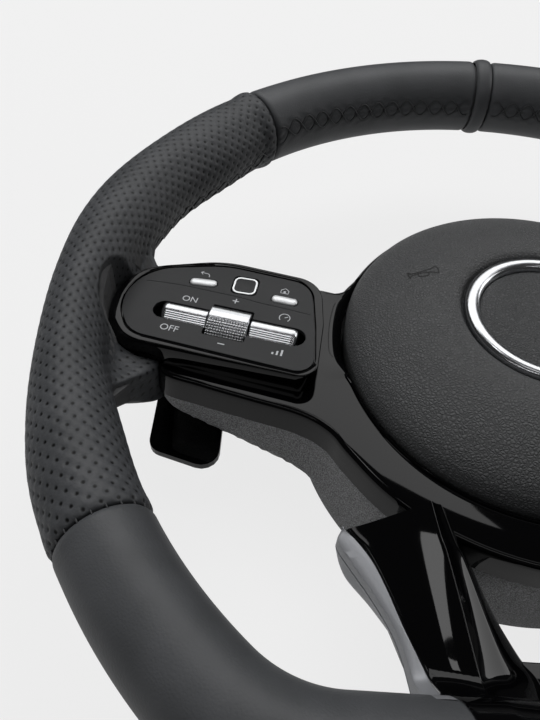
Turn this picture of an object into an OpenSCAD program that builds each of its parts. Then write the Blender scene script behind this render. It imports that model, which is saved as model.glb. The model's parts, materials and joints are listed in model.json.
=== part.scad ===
// Car steering wheel, face up: a flat-bottomed leather rim on a cast frame, two side spokes with
// switch pods, a twin-leg lower spoke, a sprung airbag module that sounds the horn, and two paddles.
// The steering axis is Z and the rear face of the hub boss lies at z = 0.

/* [Rim] */
// Outside diameter of the rim
rim_d = 370; // [366:1:376]
// Width of the rim across its face
rim_w = 30; // [28:0.5:31]
// Depth of the rim along the steering axis
rim_h = 35; // [33:0.5:37]
// Height of the rim's middle plane above the rear face of the boss
rim_z = 70; // [69:0.5:73]
// How far the flat lower run lies inside the rim's full circle
flat_inset = 28; // [24:1:30]
// Radius of the two lower corners, to the middle of the rim
corner_r = 50; // [46:1:56]
// Diameter of the cast core within the rim
core_d = 13; // [11:0.5:14]
// Thickness of the leather
leather_t = 1.4; // [1:0.1:1.8]
// Padding under the perforated leather of the grips
grip_pad = 0.5; // [0:0.1:1]
// Width of the raised ring at the top of the rim
marker_w = 8; // [6:0.5:10]
// How far the raised ring stands proud of the leather
marker_rise = 1.6; // [1:0.1:2]

/* [Grips] */
// Angle of the upper seam of a grip, from the three o'clock line
grip_from = 132.5; // [130:0.5:136]
// Angle of the lower seam of a grip
grip_to = 212.7; // [209:0.5:216]
// Bulge on the outer side above the spoke, under the heel of the thumb
thumb_swell = 2; // [0:0.1:3]
// Bulge on the inner side above the spoke
palm_swell = 1.8; // [0:0.1:3]
// Waist on the outer side at the spoke
waist_out = 2.4; // [0:0.1:3]
// Waist on the inner side at the spoke
waist_in = 5.4; // [4.5:0.1:6]

/* [Hub and spokes] */
// Width of the shroud's band round the airbag cover
hub_band = 15.4; // [15:0.1:17.5]
// Height of the shroud's crease
shroud_z = 58; // [57.5:0.5:59]
// Height of the joint between the front shroud and the rear cover
split_z = 46; // [45.5:0.5:47]
// Wall of the shroud and of the covers
wall = 2.5; // [2:0.1:3]
// Distance from the middle of the rim to the end of a side spoke's covers
spoke_inset = 28.5; // [27:0.5:29]
// Bore for the steering column
column_d = 17.2; // [15:0.1:19]
// Hole for the column bolt
bolt_d = 12.4; // [11:0.1:14]
// Diameter of the hub boss
boss_d = 34; // [30:1:38]
// Diameter of the plate that carries the airbag module
plate_d = 100; // [96:1:104]

/* [Airbag module] */
// Radius of the airbag cover at its edge
cover_r = 72.6; // [71:0.1:72.9]
// Radius of the badge ring
badge_r = 29; // [26:0.5:32]
// Width of the badge ring
badge_w = 4; // [3:0.5:5]
// Travel of the horn
horn_travel = 1.5; // [1:0.1:2]

/* [Switch pods] */
// Distance from the shroud's lip to the inner end of a pod
pod_inset = 8; // [7.5:0.1:9.5]
// Height of a pod's face
pod_z = 67; // [66:0.5:68]
// Lean of the row of rockers
row_lean = -11.7; // [-14:0.1:-9]
// Length of a bar rocker
bar_l = 18; // [15:0.5:18.5]
// Width of a bar rocker
bar_w = 6.6; // [5:0.1:7]
// Length of the knurled rocker
roller_l = 15.5; // [13:0.5:16]
// Width of the knurled rocker
roller_w = 13.3; // [12:0.1:14]
// Diameter of the pin that the rockers turn on
rocker_pin_d = 2; // [1.6:0.1:2.4]
// Tilt of a rocker each way
rocker_tilt = 6; // [3:0.5:7]
// Travel of a push button
button_travel = 0.9; // [0.5:0.1:1.1]

/* [Paddles] */
// Width of a paddle's blade
paddle_w = 28; // [24:1:32]
// Height of the blade's front face
paddle_z = 25.5; // [24.5:0.5:26]
// Thickness of the blade
paddle_t = 3; // [2.5:0.1:3.5]
// Diameter of the paddle's hinge pin
paddle_pin_d = 4; // [3:0.1:5]

/* [Clearances] */
// Gap between the airbag cover and the shroud's lip
cover_gap = 1; // [0.8:0.1:1.4]
// Clearance between pieces that are fixed together
seat_gap = 0.2; // [0.15:0.05:0.3]
// Clearance round a button in its opening
button_gap = 0.35; // [0.3:0.05:0.5]
// Radial clearance of a pin in its bore
pin_gap = 0.05; // [0.03:0.01:0.08]

/* [Hidden] */
$fn = 72;

// Colours
leather_black = [0.09, 0.09, 0.095];
gloss_black = [0.03, 0.03, 0.035];
satin_grey = [0.17, 0.17, 0.18];
moulded_grey = [0.12, 0.12, 0.125];
cast_metal = [0.62, 0.63, 0.65];
silver = [0.72, 0.73, 0.75];
steel = [0.5, 0.52, 0.55];
foam_grey = [0.25, 0.25, 0.26];

// Radii of the shroud's lip, of the hub at the shroud's crease, and of a pod's inner end
lip_r = cover_r + cover_gap;
hub_r = lip_r + hub_band;
pod_in = lip_r + pod_inset;

// The rim's centreline: a circle, two corner arcs and a flat run. The station w is the direction
// of the outward normal in degrees, and w from 270 to 271 runs along the flat.
rim_r = rim_d / 2 - rim_w / 2;
flat_y = rim_r - flat_inset;
corner_y = flat_y - corner_r;
corner_d = rim_r - corner_r;
flat_half = sqrt(corner_d ^ 2 - corner_y ^ 2);
join_w = 180 + asin(corner_y / corner_d);

function normal_w(w) = w <= 270 ? w : w <= 271 ? 270 : w - 1;

function rim_at(w) =
  let (a = normal_w(w))
  w <= join_w || w >= 541 - join_w ? rim_r * [cos(a), sin(a)] :
  w <= 270 ? [-flat_half, -corner_y] + corner_r * [cos(a), sin(a)] :
  w <= 271 ? [flat_half * (2 * (w - 270) - 1), -flat_y] :
  [flat_half, -corner_y] + corner_r * [cos(a), sin(a)];

function bump(w, mid, half) = abs(w - mid) < half ? (1 + cos(180 * (w - mid) / half)) / 2 : 0;
function ease(x) = x <= 0 ? 0 : x >= 1 ? 1 : x * x * (3 - 2 * x);
function left_w(w) = w <= 270.5 ? w : 541 - w;

// Half widths of the rim's section at a station of the left half
top_trim = 1.3;
top_fill = 2.1;
heel_swell = 0.6;
waist_drop = 1.5;

function out_half(w) = rim_w / 2 - top_trim * (1 - ease((w - 126) / 14)) + thumb_swell * bump(w, 162, 15)
  - waist_out * bump(w, 187, 19) + heel_swell * bump(w, 207, 9);
function in_half(w) = rim_w / 2 + top_fill * (1 - ease((w - 140) / 18)) + palm_swell * bump(w, 145, 13)
  - waist_in * bump(w, 182, 22);
function deep_half(w) = rim_h / 2 - waist_drop * bump(w, 184, 24);

// The root of a side spoke: a lobe on the inner side of the section that reaches to the covers
spoke_end = rim_r - spoke_inset;
root_gap = 2 * seat_gap + grip_pad + 0.1;
root_n = spoke_end + root_gap - rim_r;
root_top = shroud_z - rim_z - 0.5;
root_base = -31;
root_half = 7.5;
root_fade = 7;
function root_share(w) = ease((root_half + root_fade - abs(w - 180)) / root_fade);

section_n = 16;
// One point of the section, [outwards, towards the driver], with the skin taken off by inset
function section_point(w, k, inset) =
  let (
    a = 360 * k / section_n,
    reach = cos(a) >= 0 ? out_half(w) : in_half(w),
    oval = [(reach - inset) * cos(a), (deep_half(w) - inset) * sin(a)],
    root =
      k == 8 ? [root_n / 2, root_top + 5 - inset] :
      k == 9 ? [root_n + inset, root_top - inset] :
      k == 10 ? [root_n + inset, root_base + inset] :
      k == 11 ? [root_n * 0.55, root_base + 2 + inset] :
      k == 12 ? [root_n * 0.2, root_base + 10 + inset] : oval,
    share = root_share(w)
  )
  oval * (1 - share) + root * share;

function ring_at(w, inset) =
  let (c = rim_at(w), a = normal_w(w), m = left_w(w))
  [for (k = [0:section_n - 1])
    let (p = section_point(m, k, inset)) [c[0] + p[0] * cos(a), c[1] + p[0] * sin(a), rim_z + p[1]]];

// Faces between rings of m points: n rings in a row, from the ring first. From the ring turned on,
// the quads are split along their other diagonal, so that the right half mirrors the left.
function band(n, m, turned, first = 0, flip = false) =
  [for (i = [0:n - 2], k = [0:m - 1])
    let (
      a = (first + i) * m + k,
      b = (first + i) * m + (k + 1) % m,
      quad = i < turned ? [[a, b + m, a + m], [a, b, b + m]] : [[a, b, a + m], [b, b + m, a + m]]
    )
    each flip ? [reversed(quad[0]), reversed(quad[1])] : quad];

// A closed loop of rings, each a closed outline
module ring_loop(rings) {
  m = len(rings[0]);
  n = len(rings);
  points = [for (r = rings, p = r) p];
  close = [for (k = [0:m - 1])
    let (a = (n - 1) * m + k, b = (n - 1) * m + (k + 1) % m, c = k, d = (k + 1) % m)
    each [[a, b, c], [b, d, c]]];
  polyhedron(points = points, faces = concat(band(n, m, n / 2), close));
}

// A solid through rings with convex ends. Each ring turns anticlockwise about the way they follow.
module ring_stack(rings) {
  m = len(rings[0]);
  n = len(rings);
  points = [for (r = rings, p = r) p];
  polyhedron(
    points = points,
    faces = concat(
      band(n, m, n, 0, true),
      [[for (k = [0:m - 1]) k]],
      [[for (k = [0:m - 1]) n * m - 1 - k]]
    )
  );
}

// A sleeve round the rim: outer rings, inner rings and the two end faces
module sleeve(stations, dips, outer, inner) {
  m = section_n;
  n = len(stations);
  turned = len([for (w = stations) if (w <= 270) w]);
  points = concat(
    [for (i = [0:n - 1]) each ring_at(stations[i], outer + dips[i])],
    [for (i = [0:n - 1]) each ring_at(stations[i], inner)]
  );
  ends = [for (k = [0:m - 1])
    let (j = (k + 1) % m, i0 = n * m, t = (n - 1) * m)
    each [[k, k + i0, j], [j, k + i0, j + i0], [k + t, j + t, k + t + i0], [j + t, j + t + i0, k + t + i0]]];
  polyhedron(points = points, faces = concat(band(n, m, turned), band(n, m, turned, n, true), ends));
}

function steps(a, b, n) = [for (i = [0:n]) a + (b - a) * i / n];
function reversed(list) = [for (i = [len(list) - 1:-1:0]) list[i]];
function degrees_at_rim(mm) = mm / rim_r * 180 / PI;

// Rolled ends of a leather piece: the first and last stations dip into the seam
roll = degrees_at_rim(1.6);
seam_dip = 1;

seam = degrees_at_rim(0.3) / 2;
marker_half = degrees_at_rim(marker_w / 2);
foam_inset = leather_t + seat_gap;

// Outlines made of circles joined by their outer tangents, as a belt round pulleys.
// Circles are [x, y, radius], anticlockwise.
function belt_normal(a, b) =
  atan2(b[1] - a[1], b[0] - a[0]) - acos((a[2] - b[2]) / norm([b[0] - a[0], b[1] - a[1]]));
function belt(circles, grow = 0, n = 5) =
  let (m = len(circles))
  [for (i = [0:m - 1])
    let (
      c = circles[i],
      a = belt_normal(circles[(i + m - 1) % m], c),
      b = belt_normal(c, circles[(i + 1) % m]),
      turn = (b - a + 720) % 360
    )
    for (k = [0:n])
      let (t = a + turn * k / n, r = c[2] + grow)
      [c[0] + r * cos(t), c[1] + r * sin(t)]];
function at_z(outline, z) = [for (p = outline) [p[0], p[1], z]];

// Switch pod, left side
pod_out = rim_r - 8;
pod_circles = [
  [-pod_out + 20.6, 8.8, 20.6],
  [-pod_out + 14.7, -0.8, 14.6],
  [-pod_in - 4.6, -22.3, 4.6],
  [-pod_in - 7.4, -5, 7.4],
  [-pod_in - 9.6, 14.5, 8],
  [-(pod_in + pod_out) / 2 + 4, 19.3, 10]
];
pod_base = shroud_z + seat_gap;
pod_floor = 50;
fascia_t = 1.6;
fascia_top = pod_z - 0.3;
fascia_base = fascia_top - fascia_t;
fascia_shift = [0.8, 0.8];
bezel = 3.1;
ledge = 1;
tray_in = 1.6;
tray_end = pod_out - 12;
board_t = 1.6;
board_top = pod_floor + 1.5 + board_t;

// Row of rockers: its middle, and the places along it
row_x = -(pod_in + pod_out) / 2 + 5;
row_y = -3.9;
pin_z = 60.5;
rocker_gap = 0.6;
bar_at = roller_l / 2 + rocker_gap + bar_l / 2;
ear_t = 2.6;
ear_at = roller_l / 2 + rocker_gap + bar_l + rocker_gap + ear_t / 2;
bar_top = pod_z + 0.6;
roller_top = pod_z + 2;
tilt_room = (roller_top - pin_z) * sin(rocker_tilt) + 0.3;
slot_w = bar_w + 2 * ((bar_top - pin_z) * sin(rocker_tilt) + 0.2);
slot_l = 2 * (bar_at + bar_l / 2) + 5;

// Push buttons: [x, y, length, width, lean]
back_button = [row_x - 11.5, 16.7, 10.5, 3.6, -5];
home_button = [row_x + 20.4, 9.4, 10, 3.6, -12];
touch_pad = [row_x + 4.8, 16.2, 9.5, 9, -8];
button_top = pod_z + 0.5;
button_r = 1.6;

module mirrored() {
  mirror([1, 0, 0]) children();
}

module along_row() {
  translate([row_x, row_y, 0]) rotate([0, 0, row_lean]) children();
}

module row_pin(r, l) {
  translate([0, 0, pin_z]) rotate([0, 90, 0]) cylinder(r = r, h = l, center = true);
}

module pod_prism(grow, z0, z1, shift = [0, 0]) {
  translate([shift[0], shift[1], z0]) linear_extrude(height = z1 - z0) polygon(belt(pod_circles, grow));
}

// The pocket for a pod's deep tray, cut square at its outer end
module pod_tray_prism(grow, z0, z1) {
  intersection() {
    pod_prism(grow, z0, z1);
    translate([-tray_end - tray_in - grow, -40, z0 - 1]) cube([80, 80, z1 - z0 + 2]);
  }
}

// The room that a pod needs in the root of the spoke
module pod_pocket() {
  pod_prism(2 * seat_gap, pod_base - seat_gap, rim_z + rim_h);
  pod_tray_prism(2 * seat_gap - tray_in, pod_floor - 2 * seat_gap, pod_base);
}

function without_repeats(list) = [for (i = [0:len(list) - 2]) if (list[i + 1] - list[i] > 0.01) list[i]];
// Stations that the leather and the foam share, so that their facets lie side by side
top_steps = 7;
grip_steps = 18;
bottom_half = concat(steps(grip_to, join_w, 3), steps(join_w, 270, 5));
left_stations = concat(steps(90, grip_from, top_steps), steps(grip_from, grip_to, grip_steps), bottom_half);
rim_stations = without_repeats(concat(left_stations, [for (w = reversed(left_stations)) 541 - w]));
// Stations of one leather piece between two seams, with a rolled end at each
function between(stations, a, b) =
  concat([a, a + roll], [for (w = stations) if (w > a + 1.2 * roll && w < b - 1.2 * roll) w], [b - roll, b]);
function end_dips(n) = [for (i = [0:n - 1]) i == 0 || i == n - 1 ? seam_dip : 0];

// Distance below the middle of the wheel at a share of the way from the hub's edge to a leg's foot
leg_end = flat_y - rim_w / 2 + 2;
function leg_y(share) = hub_r + share * (leg_end - hub_r);

// Cast frame: arms drawn as a side profile [distance, height] with a thickness
arm_t = 5;
arm_w = 20;
arm_root = hub_r - 3;
arm_path = [
  [20, 23], [arm_root, 28.5], [spoke_end - 23.5, 38.8], [spoke_end + 0.5, 44.8], [spoke_end + 9.5, 46.6],
  [rim_r, 62]
];
leg_arm_w = 14;
leg_arm_path = [[24, 23], [hub_r - 27, 26], [arm_root, 38], [leg_y(0.575), 50], [flat_y, 64]];
leg_plan_y = [24, arm_root, flat_y];
leg_plan_x = [24, 51, 40];

module path_plate(path, t) {
  n = len(path);
  polygon(concat(
    [for (i = [0:n - 1]) path[i] - [0, t / 2]],
    [for (i = [0:n - 1]) path[n - 1 - i] + [0, t / 2]]
  ));
}

module side_arm(grow = 0) {
  rotate([90, 0, 180]) linear_extrude(height = arm_w + 2 * grow, center = true)
    path_plate(arm_path, arm_t + 2 * grow);
}

module leg_arm(grow = 0) {
  w = leg_arm_w / 2 + grow;
  plan = concat(
    [for (i = [0:2]) [-leg_plan_x[i] - w, -leg_plan_y[i]]],
    [for (i = [0:2]) [-leg_plan_x[2 - i] + w, -leg_plan_y[2 - i]]]
  );
  intersection() {
    linear_extrude(height = rim_z + rim_h) polygon(plan);
    rotate([90, 0, -90]) linear_extrude(height = 2 * hub_r) path_plate(leg_arm_path, arm_t + 2 * grow);
  }
}

// The core of the rim is a bar of six sides, which the arms are cast round
core_n = 6;
module core_loop(r) {
  ring_loop([for (w = rim_stations)
    let (c = rim_at(w), a = normal_w(w))
    [for (k = [0:core_n - 1])
      let (t = 360 * (k + 0.5) / core_n, n = r * cos(t), z = r * sin(t))
      [c[0] + n * cos(a), c[1] + n * sin(a), rim_z + z]]]);
}

plate_z = 20;
plate_t = 5;
bore_depth = 20;
guide_r = 40;
guide_pin_d = 5;
screw_r = 45;
screw_d = 4;
guide_angles = [90, 210, 330];
screw_boss_r = 6.5;
screw_angles = [50, 130, 250, 290];

module armature() {
  color(cast_metal) difference() {
    union() {
      cylinder(d = boss_d, h = plate_z + plate_t + 2);
      translate([0, 0, plate_z]) cylinder(d = plate_d, h = plate_t);
      side_arm();
      mirrored() side_arm();
      leg_arm();
      mirrored() leg_arm();
    }
    core_loop(core_d / 2 + seat_gap / 2);
    translate([0, 0, -1]) cylinder(d = column_d, h = bore_depth + 1);
    cylinder(d = bolt_d, h = 40);
    for (a = guide_angles) rotate([0, 0, a]) translate([guide_r, 0, 0])
      cylinder(r = guide_pin_d / 2 + pin_gap, h = 40);
    for (a = screw_angles) rotate([0, 0, a]) translate([screw_r, 0, 0])
      cylinder(r = screw_d / 2 + pin_gap, h = 40);
  }
}

module rim_core() {
  color(steel) core_loop(core_d / 2);
}

module rim_foam() {
  color(foam_grey) difference() {
    ring_loop([for (w = rim_stations) ring_at(w, foam_inset)]);
    core_loop(core_d / 2 + seat_gap);
    side_arm(seat_gap);
    mirrored() side_arm(seat_gap);
    leg_arm(seat_gap);
    mirrored() leg_arm(seat_gap);
    pod_pocket();
    mirrored() pod_pocket();
  }
}

module leather_top_left() {
  stations = between(rim_stations, 90 + marker_half + seam, grip_from - seam);
  color(leather_black) sleeve(stations, end_dips(len(stations)), 0, leather_t);
}

module leather_top_right() {
  mirrored() leather_top_left();
}

module grip_left() {
  stations = between(rim_stations, grip_from + seam, grip_to - seam);
  color(leather_black) difference() {
    sleeve(stations, end_dips(len(stations)), -grip_pad, leather_t);
    side_arm(seat_gap);
    pod_pocket();
  }
}

module grip_right() {
  mirrored() grip_left();
}

module leather_bottom() {
  stations = between(rim_stations, grip_to + seam, 541 - grip_to - seam);
  color(leather_black) difference() {
    sleeve(stations, end_dips(len(stations)), 0, leather_t);
    leg_arm(seat_gap);
    mirrored() leg_arm(seat_gap);
  }
}

module marker_ring() {
  h = marker_half;
  color(leather_black) sleeve(
    [90 - h, 90 - h * 0.7, 90 + h * 0.7, 90 + h],
    [marker_rise, 0, 0, marker_rise],
    -marker_rise,
    leather_t
  );
}

// Outline of the front shroud on the left half, as [distance past the lip as a share of the way to
// the spoke's end, height above the spoke's middle], then as polar radii by hub angle
spoke_shape = [
  [0.045, 25], [0.254, 29], [0.522, 31], [0.82, 31], [1, 29],
  [1, 15], [1, 0], [1, -11],
  [1, -22], [0.75, -27], [0.478, -32], [0.209, -37], [0.06, -43]
];
function to_radius(p, r) = p * r / norm(p);
function within(p, r) = to_radius(p, min(norm(p), r));
function spoke_point(p) = within([-(lip_r + 1.4 + p[0] * (spoke_end - lip_r - 1.4)), p[1]], spoke_end);
half_outline = concat(
  [for (a = [90:10:150]) (lip_r + 1.4) * [cos(a), sin(a)]],
  [(lip_r + 2) * [cos(158), sin(158)]],
  [for (p = spoke_shape) spoke_point(p)],
  [for (a = [215:11:270]) hub_r * [cos(a), sin(a)]]
);
hub_outline = concat(
  half_outline,
  [for (i = [len(half_outline) - 2:-1:1]) [-half_outline[i][0], half_outline[i][1]]]
);

function side_normal(a, b) = [b[1] - a[1], a[0] - b[0]] / norm(b - a);
// A closed anticlockwise outline moved inwards by d, corner by corner
function inset(outline, d) =
  let (n = len(outline))
  [for (i = [0:n - 1])
    let (
      u = side_normal(outline[(i + n - 1) % n], outline[i]),
      v = side_normal(outline[i], outline[(i + 1) % n])
    )
    outline[i] - d * (u + v) / (1 + u * v)];
// Points of an inset outline, kept outside a radius
function inset_beyond(outline, d, r) =
  let (moved = inset(outline, d))
  [for (i = [0:len(outline) - 1]) norm(moved[i]) > r ? moved[i] : to_radius(outline[i], r)];

shroud_flare = 0.8;
module front_shroud() {
  lip_z = shroud_z + 1.2;
  skirt = [for (p = inset(hub_outline, -shroud_flare)) within(p, spoke_end + seat_gap)];
  brow = inset_beyond(hub_outline, 1.2, lip_r + 1.1);
  room = inset_beyond(hub_outline, wall, lip_r + 0.7);
  foot = inset_beyond(hub_outline, wall - shroud_flare, lip_r + 0.7);
  color(gloss_black) difference() {
    ring_loop([for (i = [0:len(hub_outline) - 1])
      let (p = hub_outline[i])
      [
        concat(to_radius(p, lip_r), lip_z), concat(to_radius(p, lip_r), shroud_z - 3),
        concat(room[i], shroud_z - 3), concat(foot[i], split_z), concat(skirt[i], split_z),
        concat(p, shroud_z - 1.2), concat(brow[i], shroud_z), concat(to_radius(p, lip_r + 0.85), shroud_z),
        concat(to_radius(p, lip_r + 0.6), lip_z)
      ]]);
    for (side = [0, 1]) mirror([side, 0, 0]) pod_prism(2 * seat_gap - tray_in, split_z - 1, rim_z);
  }
}

// Rear cover: a bowl that reaches out along the spokes. Its sections are limited by how far the
// bowl reaches at each height.
floor_r = hub_r - 5;
floor_hole_r = screw_r + 4;
reach_z = [0, 3, 12, 20, 32, 38.6, split_z - seat_gap];
reach_r = [floor_r, hub_r - 2, hub_r - 0.6, hub_r, spoke_end - 23.5, spoke_end, spoke_end];
function shell_r(p, i) = min(norm(p), reach_r[i]);

module rear_cover() {
  n = len(reach_z);
  color(moulded_grey) difference() {
    union() {
      ring_loop([for (p = hub_outline)
        concat(
          [concat(to_radius(p, floor_hole_r), 0)],
          [for (i = [0:n - 1]) concat(to_radius(p, shell_r(p, i)), reach_z[i])],
          [for (i = [n - 1:-1:0])
            concat(
              to_radius(p, max(shell_r(p, i) - wall, lip_r + seat_gap)),
              i == n - 1 ? reach_z[i] : min(reach_z[i] + wall, split_z - 1)
            )],
          [concat(to_radius(p, floor_hole_r), wall)]
        )]);
      for (a = screw_angles) rotate([0, 0, a]) translate([screw_r, 0, 0.4])
        cylinder(r = screw_boss_r, h = plate_z - seat_gap - 0.4);
    }
    for (a = screw_angles) rotate([0, 0, a]) translate([screw_r, 0, -1]) {
      cylinder(r = screw_d / 2 + pin_gap, h = 40);
      cylinder(r = screw_d + 0.2, h = 3.6);
    }
    for (side = [0, 1]) mirror([side, 0, 0]) {
      side_arm(2 * seat_gap);
      leg_arm(2 * seat_gap);
    }
  }
}

module rear_cover_screws() {
  color(steel) for (a = screw_angles) rotate([0, 0, a]) translate([screw_r, 0, 0]) {
    difference() {
      translate([0, 0, 0.4]) cylinder(r = screw_d, h = 2);
      cylinder(r = 1.5, h = 1.4, $fn = 6);
    }
    translate([0, 0, 2]) cylinder(d = screw_d, h = plate_z + plate_t - 2);
  }
}

// Lower spoke, left leg: stations from the hub to the rim, each [share of the way, outer edge,
// ridge, edge of the bevel, foot on the opening's side], with the edges as distances from the middle
leg_stations = [
  [-0.575, 86, 50.5, 46.5, 42], [-0.175, 74.7, 48.3, 42.8, 36.5], [-0.025, 69.2, 47, 40.5, 34.5],
  [0.3, 63.1, 45.2, 37.6, 30], [0.575, 58.9, 43.9, 35.3, 24.5], [0.725, 56.2, 43.2, 34, 21],
  [1, 52, 42, 31.8, 20]
];
leg_z = rim_z - 5;
leg_foot = split_z - 8;
leg_lean = 3.5;
ridge_rise = 2.6;
bevel_drop = 2;
bridge_y = leg_y(0.6);
bridge_t = 10;
// The seam with the front shroud, as two points on the left leg
leg_seam = [[-74.6, -hub_r + 6.9], [-39.6, -hub_r + 20.1]];

module leg_body(shrink, drop) {
  ring_stack([for (s = leg_stations)
    let (y = -leg_y(s[0]), o = s[1] - shrink, i = s[4] + shrink, z = leg_z - drop)
    [
      [-o, y, z], [-o + leg_lean, y, leg_foot - drop], [-i - 1, y, leg_foot - drop], [-i, y, z - 16],
      [-s[3] - shrink, y, z - bevel_drop], [-s[2], y, z + ridge_rise], [-(s[1] + s[2]) / 2, y, z + 0.4]
    ]]);
}

module seam_prism(gap) {
  along = (leg_seam[1] - leg_seam[0]) / norm(leg_seam[1] - leg_seam[0]);
  a = leg_seam[0] - 40 * along - [0, gap];
  b = leg_seam[1] + along - [0, gap];
  linear_extrude(height = rim_z + rim_h) polygon([a, b, b + [9, hub_r], a + [0, hub_r]]);
}

module rim_saddle(gap) {
  translate([-hub_r, -flat_y, rim_z]) rotate([0, 90, 0])
    linear_extrude(height = 2 * hub_r)
      polygon([for (k = [0:31])
        let (a = 360 * k / 32)
        [(rim_h / 2 + gap) * cos(a), (rim_w / 2 + gap) * sin(a)]]);
}

module hub_clearance(z) {
  cylinder(r = hub_r * 1.008 + 2 * seat_gap, h = z);
}

module lower_spoke_trim() {
  color(gloss_black) difference() {
    union() {
      for (side = [0, 1]) mirror([side, 0, 0]) leg_body(0, 0);
      translate([-30, -flat_y + 12, leg_z - 19]) cube([60, flat_y - 12 - bridge_y, bridge_t]);
    }
    for (side = [0, 1]) mirror([side, 0, 0]) {
      leg_body(wall, wall);
      leg_arm(1);
      seam_prism(0);
    }
    hub_clearance(shroud_z + 2 * seat_gap);
    cylinder(r = lip_r + 4, h = 100);
    translate([-hub_r, -2 * hub_r, 0]) cube([2 * hub_r, 2 * hub_r, split_z]);
    rim_saddle(2 * seat_gap);
  }
}

// Accent on the outer side of a leg: stations [share of the way, inner edge, outer edge, lower edge]
accent_stations = [
  [-0.16, 74.5, 75.6, 75], [-0.075, 71.2, 77.3, 76], [0.075, 67, 73.6, 73.8], [0.275, 63.4, 68.1, 66.2],
  [0.5, 60, 62.9, 60.6], [0.675, 57, 60.4, 58], [0.885, 53.6, 58.6, 56], [1, 52, 57.4, 55]
];
module lower_accent_left() {
  color(silver) difference() {
    ring_stack([for (s = accent_stations)
      let (y = -leg_y(s[0]), x = -s[1] - seat_gap)
      [
        [x, y, leg_z], [-s[2], y, leg_z - 0.6], [-s[3], y, leg_z - 8],
        [-s[3] + 2, y, leg_z - 14], [x + 1.6, y, leg_z - 14]
      ]]);
    rim_saddle(2 * seat_gap);
    hub_clearance(100);
    leg_body(-seat_gap, 0);
  }
}

module lower_accent_right() {
  mirrored() lower_accent_left();
}

// Back cover of the lower spoke: its floor follows the cast arms, as [distance below the middle, height]
leg_back_path = [[leg_y(-0.275), 29], [leg_y(0.075), 34], [leg_y(0.575), 43], [leg_end, 49]];
module lower_spoke_back() {
  n = len(leg_back_path);
  color(moulded_grey) difference() {
    for (side = [0, 1]) mirror([side, 0, 0]) intersection() {
      linear_extrude(height = split_z - seat_gap) polygon(concat(
        [for (s = leg_stations) [-s[1] + leg_lean + 0.5, -leg_y(s[0])]],
        [for (s = reversed(leg_stations)) [-s[4] - 1, -leg_y(s[0])]]
      ));
      rotate([90, 0, -90]) linear_extrude(height = 2 * hub_r)
        polygon(concat(leg_back_path, [[flat_y, rim_z], [leg_back_path[0][0], rim_z]]));
    }
    hub_clearance(100);
    leg_arm(0.6);
    mirrored() leg_arm(0.6);
    seam_prism(0);
    mirrored() seam_prism(0);
    rim_saddle(2 * seat_gap);
  }
}

// Horn springs between the hub plate and the airbag tray
pressed_h = 7.5;
tray_z = plate_z + plate_t + pressed_h + horn_travel;
spring_r = 5;
spring_wire = 0.7;
spring_turns = 3;
spring_steps = 8;

module spring_coil() {
  z0 = plate_z + plate_t + spring_wire + 0.1;
  z1 = tray_z - spring_wire - 0.1;
  n = spring_turns * spring_steps;
  ring_stack([for (i = [0:n])
    let (a = 360 * i / spring_steps, z = z0 + (z1 - z0) * i / n)
    [for (k = [4:-1:0])
      let (b = 72 * k, r = spring_r + spring_wire * cos(b))
      [r * cos(a), r * sin(a), z + spring_wire * sin(b)]]]);
}

module horn_springs() {
  color(steel) for (a = guide_angles) rotate([0, 0, a]) translate([guide_r, 0, 0]) spring_coil();
}

// Airbag module
cover_base = 44;
cover_edge = rim_z - 9.7;
cover_t = 2.6;
dome = [
  [cover_r - 0.6, cover_edge + 0.6], [cover_r - 1, cover_edge + 2.6], [cover_r - 2, cover_edge + 4.6],
  [cover_r - 6.6, cover_edge + 8.6], [cover_r - 14.6, cover_edge + 12.8], [cover_r - 24.6, cover_edge + 16.4],
  [badge_r + 10, cover_edge + 17.6], [badge_r + 3, cover_edge + 17.2]
];
badge_floor = rim_z + 4;
module airbag_cover() {
  color(moulded_grey) rotate_extrude() polygon(concat(
    [[cover_r, cover_base], [cover_r, cover_edge]],
    dome,
    [[badge_r + 1.2, cover_edge + 16.6], [badge_r + 0.3, cover_edge + 15.6]],
    [[badge_r + 0.3, badge_floor], [0, badge_floor]],
    [[0, badge_floor - cover_t], [badge_r + 3, badge_floor - cover_t]],
    [for (i = [len(dome) - 1:-1:3]) dome[i] - [1, cover_t]],
    [[cover_r - cover_t, cover_edge], [cover_r - cover_t, cover_base]]
  ));
}

module badge_ring() {
  z = badge_floor + seat_gap;
  color(silver) rotate_extrude() polygon([
    [badge_r - badge_w, z], [badge_r, z], [badge_r, z + 2], [badge_r - 0.8, z + 3],
    [badge_r - badge_w / 2, z + 3.5], [badge_r - badge_w + 0.8, z + 3], [badge_r - badge_w, z + 2]
  ]);
}

module badge_disc() {
  z = badge_floor + seat_gap;
  r = badge_r - badge_w - seat_gap;
  color(satin_grey) rotate_extrude() polygon([[0, z], [r, z], [r, z + 1], [r - 1, z + 1.4], [0, z + 2]]);
}

tray_t = 1.5;
tray_r = cover_r - cover_t - 1;
inflator_r = 30;
module airbag_tray() {
  color(steel) difference() {
    rotate_extrude() polygon([
      [inflator_r + 0.3, tray_z], [tray_r, tray_z], [tray_r, cover_base + 6],
      [tray_r - tray_t, cover_base + 6], [tray_r - tray_t, tray_z + tray_t],
      [inflator_r + 0.3, tray_z + tray_t]
    ]);
    for (a = guide_angles) rotate([0, 0, a]) translate([guide_r, 0, 0])
      cylinder(r = guide_pin_d / 2 + pin_gap, h = 60);
  }
}

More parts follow.
